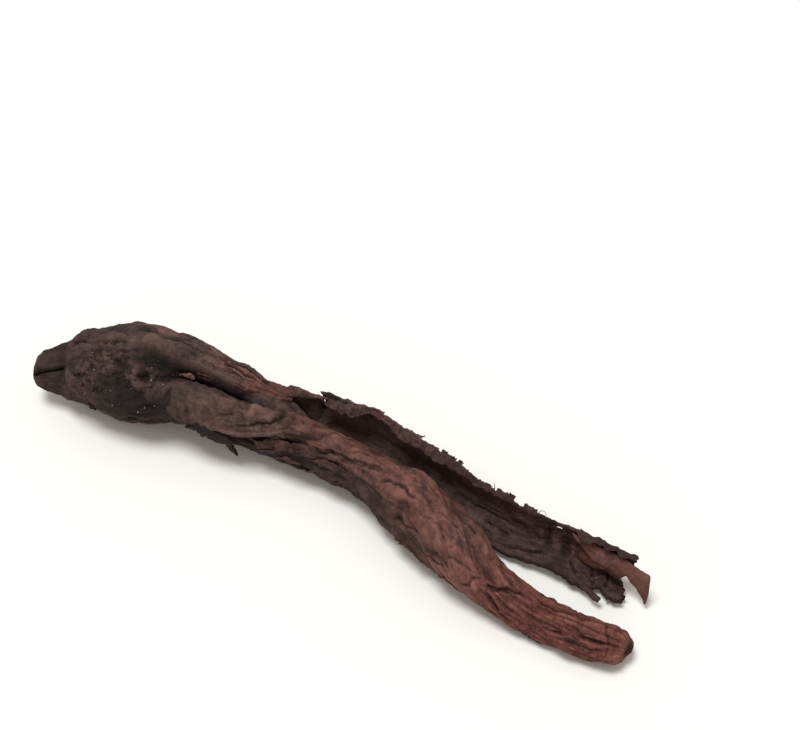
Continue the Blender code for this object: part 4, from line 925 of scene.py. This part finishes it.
def trough_curve(s, station, wall, lip, field):
    """Where the trough's wall and its curled lip run across it, and the direction out of them there."""
    length = np.interp(s, *np.array(LIP).T)
    curl = rise(length, 0.4, 1.2)
    rim = (1 - 0.6 * curl) * waves(s, SEED, (6.0, 3.4, 8), (3.0, 1.1, 9)) - 9.0 * curl
    rim = rim - 12 * (1 - rise(s, 16.0, 1.5)) - notch(s, *RIM_NOTCH)
    jagged = waves(s, SEED, (4.0, 1.3, 13), (2.5, 0.5, 14)) * (0.35 + rise(s, 74, 4))
    bottom = (4 * rise(s, 76, 2) + jagged - notch(s, *STRIP_NOTCH)) * rise(s, 50, 6)
    low, high = np.radians(station[:, 4] - bottom), np.radians(station[:, 5] + rim)
    angle = mix(low[:, None], high[:, None], wall)
    s_all = s[:, None]
    far = rise(s_all, 76, 6)
    bulge = 0.9 * near(wall, 0.30, 0.10) - 1.9 * rise(wall, 0.42, 0.06) * (1 - rise(wall, 0.55, 0.28))
    r = station[:, 3:4] + 0.8 * field(0.10, 2.6, 2, 10) + 0.18 * field(0.5, 9.0, 2, 62)
    r = r + station[:, 7:8] * rise(wall, 0.72, 0.28) + far * bulge
    r = r - 1.4 * (1 - rise(s_all, 52, 8)) * (1 - rise(wall, 0, 0.25))
    place = np.stack([r * np.cos(angle), r * np.sin(angle)], axis=-1)
    tangent = np.gradient(place, axis=1)
    edge = int((lip[0] == 0).sum()) - 1
    tangent[:, edge:] = (place[:, edge] - place[:, edge - 1])[:, None]
    tangent = unit(tangent)
    normal = np.stack([tangent[..., 1], -tangent[..., 0]], axis=-1)
    spikes = np.maximum(0, waves(s, SEED, (1.6, 0.55, 68), (0.9, 0.24, 69))) * (1 - curl)
    length = np.maximum(length + waves(s, SEED, (0.9, 4.2, 60), (0.35, 1.3, 61)) + spikes, 0.25)[:, None]
    tight = LIP_CURL * (1 + waves(s, SEED, (0.35, 2.6, 90), (0.25, 1.0, 91)))
    bent = (curl / tight)[:, None] + 1 / r[:, edge : edge + 1]
    turned = (lip * length * bent)[:, :, None]
    start, facing, heading = (a[:, edge, None] for a in (place, normal, tangent))
    swung = facing * np.cos(turned) + heading * np.sin(turned)
    is_lip = (lip > 0)[:, :, None]
    curled = start + (swung - facing) / bent[:, :, None]
    return np.where(is_lip, curled, place), np.where(is_lip, swung, normal)


def trough_sides(s, wall, lip, thick, field):
    """How far the trough's outer and inner sides lie from the middle of its wall, in mm."""

    def placed(table, along, up):
        return cracks(along.ravel(), up.ravel(), np.full(s.size, TROUGH_WIDTH), table, 0).reshape(s.shape)

    half = thick / 2 * (1 - 0.5 * rise(wall, 0.75, 0.25)) * (1 - 0.5 * lip**2)
    body = rise(wall, 0, 0.1)
    furrow = 0.55 * groove(field(0.05, 6.0, 1, 12), 0.3) * body * (1 - rise(wall, 0.8, 0.2))
    layers = 0.16 * groove(field(0.12, 12.0, 1, 63), 0.15) - 0.24 * field(0.4, 9.0, 3, 64)
    ruffle = 0.28 * field(0.8, 5.0, 2, 93) * rise(wall, 0.85, 0.1) * (1 - rise(s, 60, 12))
    outside = ruffle - furrow - layers * body * (1 - 0.2 * lip)
    outside = outside + placed(RIM_CRACKS, s + 0.5 * field(0.3, 5.0, 2, 92), wall + LIP_SHARE * lip)
    inside = placed(TROUGH_CRACKS, s, wall) * (lip == 0)
    inside = inside + 0.16 * field(0.25, 9.0, 3, 66) - 0.08 * groove(field(0.10, 12.0, 1, 65), 0.14)
    return half + outside, half + inside


def trough_part():
    """The trough's points, faces and values, and the Skin of its outside."""
    rings, columns = SHEET_GRID
    line, station = smooth_rows(SHEET, rings)
    s, wall, lip = np.broadcast_arrays(line[:, None], *trough_line(columns))
    across = wall + LIP_SHARE * lip

    def field(per_mm, per_wall, octaves, seed):
        """Random heights, by how fine they are along the trough and across its wall."""
        spots = np.stack([s * per_mm, across * per_wall, s * 0], axis=-1)
        return cloud(spots.reshape(-1, 3), octaves, SEED + seed).reshape(s.shape)

    place, normal = trough_curve(line, station, wall, lip, field)
    out, into = trough_sides(s, wall, lip, station[:, 6:7], field)
    back, up = (axis[:, None] for axis in section_axes(station[:, :3]))
    torn = waves(across[0] * 20, SEED, (1.5, 1.5, 11), (0.9, 0.5, 67)) - 2.2 * near(across[0], 0.45, 0.1)
    sheets = []
    for flat in (place + normal * out[:, :, None], place - normal * into[:, :, None]):
        sheet = station[:, None, :3] + flat[:, :, :1] * back + flat[:, :, 1:] * up
        sheet[:, :, 0] += rise(s, line[-1] - 5, 5) * torn
        sheets.append(sheet)
    far = rise(s, 74, 8)
    deep = (1 - rise(s, 34, 30)) * (1 - rise(wall, 0.88, 0.12))
    fold = far * rise(wall, 0.40, 0.05) * (1 - rise(wall, 0.74, 0.05))
    band = rise(wall, 0.9, 0.08) * rise(s, 15, 2) * (1 - rise(s, 21, 10))
    dark_out = mix(0.30, 0.05, band) + 0.3 * far + 0.35 * near(s, 58, 13)
    # Painted shade: the hollow under the far fold is darker, and the fold itself is not darkened.
    dark_in = (0.20 + 0.25 * far * (1 - rise(wall, 0.36, 0.08))) * (1 - fold)
    values = {
        "pit": (cavity(out), cavity(into)),
        "red": (mix(0.45, 0.05, band), 0.24 + 0.72 * fold - 0.24 * deep),
        "dark": (dark_out, np.maximum(0.22 * near(s, 70, 8), dark_in)),
        "pale": (0 * deep, 0.5 * deep),
    }
    values = {key: np.concatenate([side.ravel() for side in sides]) for key, sides in values.items()}
    grain = np.stack([s, 16 * across, 0 * s], axis=-1).reshape(-1, 3)
    values["grain"] = np.concatenate([grain, grain + 40.0])
    middle_s, middle_wall = ((a[:-1, :-1] + a[1:, 1:]) / 2 for a in (s, wall))
    off_s = (middle_s - HOLE_PLACE[0]) / HOLE_REACH[0]
    off_wall = (middle_wall - HOLE_PLACE[1]) / HOLE_REACH[1]
    hole = np.hypot(off_s, off_wall) < 1
    return slab_part(*sheets, values, ~hole), Skin(line, across[0], sheets[0])


def thin_part(middle, half, grain, pits, paint):
    """A thin piece of bark in one colour: the grid in its middle and the way from there to its one side."""
    values = painted(2 * len(grain), paint)
    values["grain"] = np.concatenate([grain, grain + 20.0])
    values["pit"] = np.concatenate([side.ravel() for side in pits])
    return slab_part(middle - half, middle + half, values)


def leaf_part(edges, thick, bow, frayed, seed, paint):
    """A thin leaf of bark between two edges, torn along both."""
    rings, columns = LEAF_GRID
    knots = np.arange(len(edges[0]))
    t = np.linspace(0, knots[-1], rings)
    first, second = (np.stack([np.interp(t, knots, axis) for axis in zip(*edge)], axis=1) for edge in edges)
    line = (first + second) / 2
    s = np.concatenate([[0], np.cumsum(np.linalg.norm(np.diff(line, axis=0), axis=1))])
    width = np.linalg.norm(second - first, axis=1)
    across = (second - first) / width[:, None]
    out = blurred(unit(np.cross(across, np.gradient(line, axis=0))), 3, False)[:, None]
    reach = frayed * np.minimum(width, 2.0)
    torn = [(reach * waves(s, seed + k, (1.0, 0.9, 0), (0.8, 0.35, 1)))[:, None] for k in (3, 5)]
    first, second = first - across * torn[0], second + across * torn[1]
    side = np.linspace(0, 1, columns)[None, :]
    aside = width[:, None] * side
    spots = np.stack([np.repeat(s, columns), aside.ravel(), 0 * aside.ravel()], axis=1)
    wave = 0.16 * cloud(spots * 0.6, 3, seed + 7).reshape(rings, columns)
    middle = mix(first[:, None], second[:, None], side[:, :, None])
    middle = middle + out * (4 * bow * side * (1 - side) + wave)[:, :, None]
    half = thick / 2 * (1 - 0.6 * np.abs(2 * side - 1) ** 4)
    return thin_part(middle, out * half[:, :, None], spots, (cavity(wave), cavity(-wave)), paint)


def flake_part(surface, path, half, lift, thick, seed, paint):
    """A flake of bark along a path on a surface: one edge is sunk in it, and the other stands off by lift.
    path is two or more places, half the flake's half width."""
    rings, columns = FLAKE_GRID
    t = np.linspace(0, 1, rings)
    knots = np.arange(len(path))
    where, angle = (np.interp(t * knots[-1], knots, axis) for axis in np.array(path, float).T)
    point, out = surface.at(where, angle)
    aside = np.cross(out, unit(np.gradient(point, axis=0)))[:, None]
    out = out[:, None]
    side = np.linspace(-1, 1, columns)[None, :]
    width = half * np.sin(math.pi * np.clip(t * 0.94 + 0.03, 0, 1)) ** 0.6
    width = (width * (1 + 0.35 * along_line(t * 6, 1.0, seed)))[:, None] * side
    width = width + np.where(side > 0, (0.22 * half * along_line(t * 14, 1.0, seed + 1))[:, None], 0)
    raised = (lift + FLAKE_SUNK) * ((side + 1) / 2) ** 1.3 - FLAKE_SUNK
    raised = raised * (1 + 0.3 * along_line(t * 5, 1.0, seed + 2))[:, None]
    middle = point[:, None] + aside * width[:, :, None] + out * raised[:, :, None]
    leaf = thick / 2 * (1 - 0.5 * np.abs(side) ** 3)[:, :, None] * out
    level = 0 * width
    grain = np.stack([np.repeat(where, columns), width.ravel() + 9.0 * seed, level.ravel()], axis=1)
    return thin_part(middle, leaf, grain, (level - 0.1 * (side + 1), level + 0.1), paint)


def small_part(points, paint):
    """A small body from a stack of rings, in one colour."""
    flat = points.reshape(-1, 3)
    return tube_part(points, {"grain": flat, "pit": np.zeros(len(flat)), **painted(len(flat), paint)})


def crumb_part(middle, size, seed, paint):
    """A small rough grain."""
    rings, sides = CRUMB_GRID
    tall = np.linspace(0.12, math.pi - 0.12, rings)
    up, turn = (a.ravel() for a in np.meshgrid(tall, all_round(sides), indexing="ij"))
    ball = np.stack([np.sin(up) * np.cos(turn), np.sin(up) * np.sin(turn), np.cos(up)], axis=1)
    ball *= (1 + 0.45 * noise(ball * 1.4 + seed * 3.7, seed))[:, None]
    return small_part((middle + ball * size).reshape(rings, sides, 3)[::-1], paint)


def fibre_part(path, thick, paint):
    """A thin root hair or splinter along a path of points, tapering to its end."""
    rings, sides = FIBRE_GRID
    _, line = smooth_rows(path, rings)
    back, up = (axis[:, None] for axis in section_axes(line + np.linspace(0, 1e-3, rings)[:, None]))
    around = all_round(sides)[None, :, None]
    taper = (thick / 2 * np.linspace(1, 0.25, rings))[:, None, None]
    return small_part(line[:, None] + taper * (back * np.cos(around) + up * np.sin(around)), paint)


def placed_flakes(surface, flakes, thick, seed, paint):
    """The flakes of a table on a surface."""
    made = []
    for k, (half, lift, *path) in enumerate(flakes):
        made.append(flake_part(surface, path, half, lift, thick, SEED + seed + k, paint))
    return join(made)


def scattered_flakes(surface, draw, count, s_range, angle_range, size, lift, seed, reds, dark):
    """Flakes strewn over a surface, each along the grain or a little aslant. reds are their redness before
    RED_END and beyond it."""
    made = []
    for k in range(count):
        s, angle = draw.uniform(*s_range), draw.uniform(*angle_range)
        long, lean = draw.uniform(*size), draw.normal(0, 6.0)
        wide = draw.uniform(0.2, 0.36) * long**0.7
        up = draw.uniform(*lift)
        lean *= (angle_range[1] - angle_range[0]) / 360
        path = ((s - long / 2, angle - lean), (s, angle + 0.4 * lean), (s + long / 2, angle + lean))
        paint = (reds[int(s > RED_END)], max(0.0, dark + draw.uniform(-0.15, 0.15)), 0.0)
        made.append(flake_part(surface, path, wide, up, LOOSE_THICKNESS, seed + k, paint))
    return join(made)


def grain_on(surface, s, angle, size, up, seed, paint):
    """A grain on a surface, with its middle up times its size over it."""
    point, out = surface.at(np.array([s]), np.array([angle]))
    return crumb_part(point[0] + out[0] * size * up, size, seed, paint)


def crown_crumbs(surface, draw):
    """Crumbs of bark in the crown's broken front, and a few bright ones there and on the tan flake."""
    made = []
    for k in range(CRUMBS_DRAWN):
        s, angle = draw.normal(24, 7.5), draw.normal(134, 20)
        if 10 < s < 42 and 95 < angle < 178:
            size, dark = draw.uniform(0.12, 0.38), draw.uniform(0.2, 0.6)
            made.append(grain_on(surface, s, angle, size, 0.1, SEED + k, (0.1, dark, 0.1)))
    for k in range(BRIGHT_CRUMBS):
        s, angle, size = draw.uniform(9, 40), draw.normal(132, 26), draw.uniform(0.07, 0.13)
        made.append(grain_on(surface, s, angle, size, 0.6, SEED + k, (0.0, 0.0, 2.4)))
    for k, (spot, size) in enumerate(BRIGHT_GRAINS):
        made.append(crumb_part(np.array(spot), size, SEED + 90 + k, (0.3, 0.0, 2.0)))
    return join(made)


def sand_grains(surface, draw):
    """Pale grains of sand stuck to the crown and the roll's start."""
    made = []
    for k in range(SAND_GRAINS):
        s, angle, size = draw.uniform(10, 42), draw.normal(134, 24), draw.uniform(0.07, 0.15)
        made.append(grain_on(surface, s, angle, size, 0.5, SEED + 200 + k, (0.0, 0.0, 0.0)))
    return join(made)


# Materials


class Nodes:
    """A short way to add and join a material's nodes."""

    def __init__(self, name):
        self.material = bpy.data.materials.new(name)
        self.material.use_nodes = True
        self.tree = self.material.node_tree
        self.shader = self.tree.nodes["Principled BSDF"]

    def add(self, kind, **settings):
        made = self.tree.nodes.new("ShaderNode" + kind)
        for key, value in settings.items():
            setattr(made, key, value)
        return made

    def link(self, source, target):
        self.tree.links.new(source, target)

    def value(self, name):
        return self.add("Attribute", attribute_name=name).outputs["Fac"]

    def noise(self, vector, scale, detail, roughness=0.6):
        made = self.add("TexNoise")
        for key, value in (("Scale", scale), ("Detail", detail), ("Roughness", roughness)):
            made.inputs[key].default_value = value
        self.link(vector, made.inputs["Vector"])
        return made.outputs["Fac"]

    def math(self, operation, first, second, clamp=False, third=0.0):
        made = self.add("Math", operation=operation, use_clamp=clamp)
        for socket, operand in zip(made.inputs, (first, second, third)):
            if isinstance(operand, (int, float)):
                socket.default_value = operand
            else:
                self.link(operand, socket)
        return made.outputs["Value"]

    def total(self, *terms):
        """The sum of values, each times its share."""
        parts = [self.math("MULTIPLY", value, share) for value, share in terms]
        return functools.reduce(lambda first, second: self.math("ADD", first, second), parts)

    def ramp(self, factor, stops):
        made = self.add("ValToRGB")
        elements = made.color_ramp.elements
        while len(elements) < len(stops):
            elements.new(0.5)
        for element, (place, colour) in zip(elements, stops):
            element.position = place
            element.color = (*colour, 1.0)
        self.link(factor, made.inputs["Fac"])
        return made.outputs["Color"]

    def blend(self, factor, first, second):
        made = self.add("Mix", data_type="RGBA", clamp_factor=True)
        for socket, operand in ((made.inputs[0], factor), (made.inputs[6], first), (made.inputs[7], second)):
            if isinstance(operand, tuple):
                socket.default_value = (*operand, 1.0)
            else:
                self.link(operand, socket)
        return made.outputs[2]


def bark_material():
    """Bark whose colour follows its fibres, painted shade in its pits and cracks, and how red, dark or pale
    each spot is.
    """
    n = Nodes("bark")
    grain = n.add("Attribute", attribute_name="grain").outputs["Vector"]
    place = n.add("TexCoord").outputs["Object"]
    stretched = n.add("Mapping")
    stretched.inputs["Scale"].default_value = STREAK_STRETCH
    n.link(grain, stretched.inputs["Vector"])
    streaks = n.noise(stretched.outputs["Vector"], 0.7, 6.0)
    hue = n.noise(place, 130.0, 3.0, 0.55)
    patches = n.noise(place, 210.0, 4.0)
    mottle = n.noise(place, 520.0, 4.0)
    crumbs = n.noise(place, 1600.0, 4.0, 0.7)
    shade = n.total((streaks, 0.20), (patches, 0.36), (mottle, 0.36), (crumbs, 0.34))
    # Painted shade in pits and cracks: the deeper a spot lies, the darker it is painted.
    pit = n.math("MULTIPLY_ADD", n.value("pit"), 0.32, third=0.125)
    shade = n.math("SUBTRACT", shade, pit, clamp=True)
    swing = n.math("MULTIPLY", n.math("SUBTRACT", hue, 0.5), 1.1)
    redness = n.math("ADD", n.value("red"), swing, clamp=True)
    colour = n.blend(redness, n.ramp(shade, GREY_BARK), n.ramp(shade, RED_BARK))
    # Darkness and paleness hold painted shade and painted light as well as the bark's own colour.
    colour = n.blend(n.value("dark"), colour, BLACK_BARK)
    colour = n.blend(n.math("MULTIPLY", n.value("pale"), shade), colour, PALE_BARK)
    n.link(colour, n.shader.inputs["Base Color"])
    n.shader.inputs["Roughness"].default_value = 0.78
    n.shader.inputs["Specular IOR Level"].default_value = 0.15
    bump = n.add("Bump")
    bump.inputs["Strength"].default_value = 0.8
    bump.inputs["Distance"].default_value = 0.0005
    n.link(n.total((streaks, 0.6), (crumbs, 0.5)), bump.inputs["Height"])
    n.link(bump.outputs["Normal"], n.shader.inputs["Normal"])
    return n.material


def sand_material():
    """Pale sand."""
    n = Nodes("sand")
    tint = n.noise(n.add("TexCoord").outputs["Object"], 900.0, 2.0)
    n.link(n.ramp(tint, SAND), n.shader.inputs["Base Color"])
    n.shader.inputs["Roughness"].default_value = 0.6
    return n.material


def floor_material():
    n = Nodes("floor")
    n.shader.inputs["Base Color"].default_value = FLOOR_COLOUR
    n.shader.inputs["Roughness"].default_value = 0.7
    n.shader.inputs["Specular IOR Level"].default_value = 0.0
    return n.material


# Floor, light and camera


def make_floor():
    bpy.ops.mesh.primitive_plane_add(size=FLOOR_SIZE, location=(0.0, 0.0, FLOOR_LEVEL))
    floor = bpy.context.object
    floor.name = "floor"
    floor.data.materials.append(floor_material())


def aim(thing, place, target):
    thing.location = place
    thing.rotation_mode = "QUATERNION"
    thing.rotation_quaternion = (Vector(target) - Vector(place)).to_track_quat("-Z", "Y")


def make_light():
    lamp = bpy.data.lights.new("ceiling", "AREA")
    lamp.shape = "DISK"
    lamp.size = LAMP_SIZE
    lamp.energy = LAMP_WATTS
    lamp.color = LAMP_COLOUR
    made = bpy.data.objects.new("ceiling", lamp)
    bpy.context.scene.collection.objects.link(made)
    aim(made, LAMP_PLACE, (0.0, 0.0, 0.0))
    world = bpy.data.worlds.new("room")
    world.use_nodes = True
    sky = world.node_tree.nodes["Background"]
    sky.inputs["Color"].default_value = ROOM_COLOUR
    sky.inputs["Strength"].default_value = ROOM_STRENGTH
    bpy.context.scene.world = world


def make_camera():
    lift, turn = math.radians(CAMERA_ELEVATION), math.radians(CAMERA_AZIMUTH)
    away = Vector((math.sin(turn) * math.cos(lift), -math.cos(turn) * math.cos(lift), math.sin(lift)))
    target = Vector(LOOK_AT) * MM
    camera = bpy.data.objects.new("camera", bpy.data.cameras.new("camera"))
    bpy.context.scene.collection.objects.link(camera)
    aim(camera, target + away * CAMERA_DISTANCE * MM, target)
    camera.data.sensor_width = SENSOR
    camera.data.lens = LENS
    camera.data.clip_start = CLIP_START
    bpy.context.scene.camera = camera


def dress(piece, material):
    piece.data.materials.append(material)
    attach(piece, ROOT)
    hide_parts(ROOT)


def build():
    draw = np.random.default_rng(SEED)
    parts, skins = {}, {}
    for name, *strand in STRANDS:
        parts[name], skins[name] = strand_part(*strand)
    parts["trough"], skins["trough"] = trough_part()
    for k, (name, *leaf, paint) in enumerate(LEAVES):
        parts[name] = leaf_part(*leaf, SEED + 20 + 10 * k, paint)
    for name, body, *flakes in PLACED_FLAKES:
        parts[name] = placed_flakes(skins[body], *flakes)
    for name, body, *flakes in SCATTERED_FLAKES:
        parts[name] = scattered_flakes(skins[body], draw, *flakes)
    parts["crumbs"] = crown_crumbs(skins["crown"], draw)
    parts["fibres"] = join([fibre_part(*fibre) for fibre in FIBRES])
    bark = bark_material()
    for name, part in parts.items():
        dress(mesh_object(name, *part), bark)
    dress(mesh_object("sand_grains", *sand_grains(skins["crown"], draw)), sand_material())
    make_floor()
    make_light()
    make_camera()
    bpy.context.scene.view_settings.view_transform = "Standard"


build()
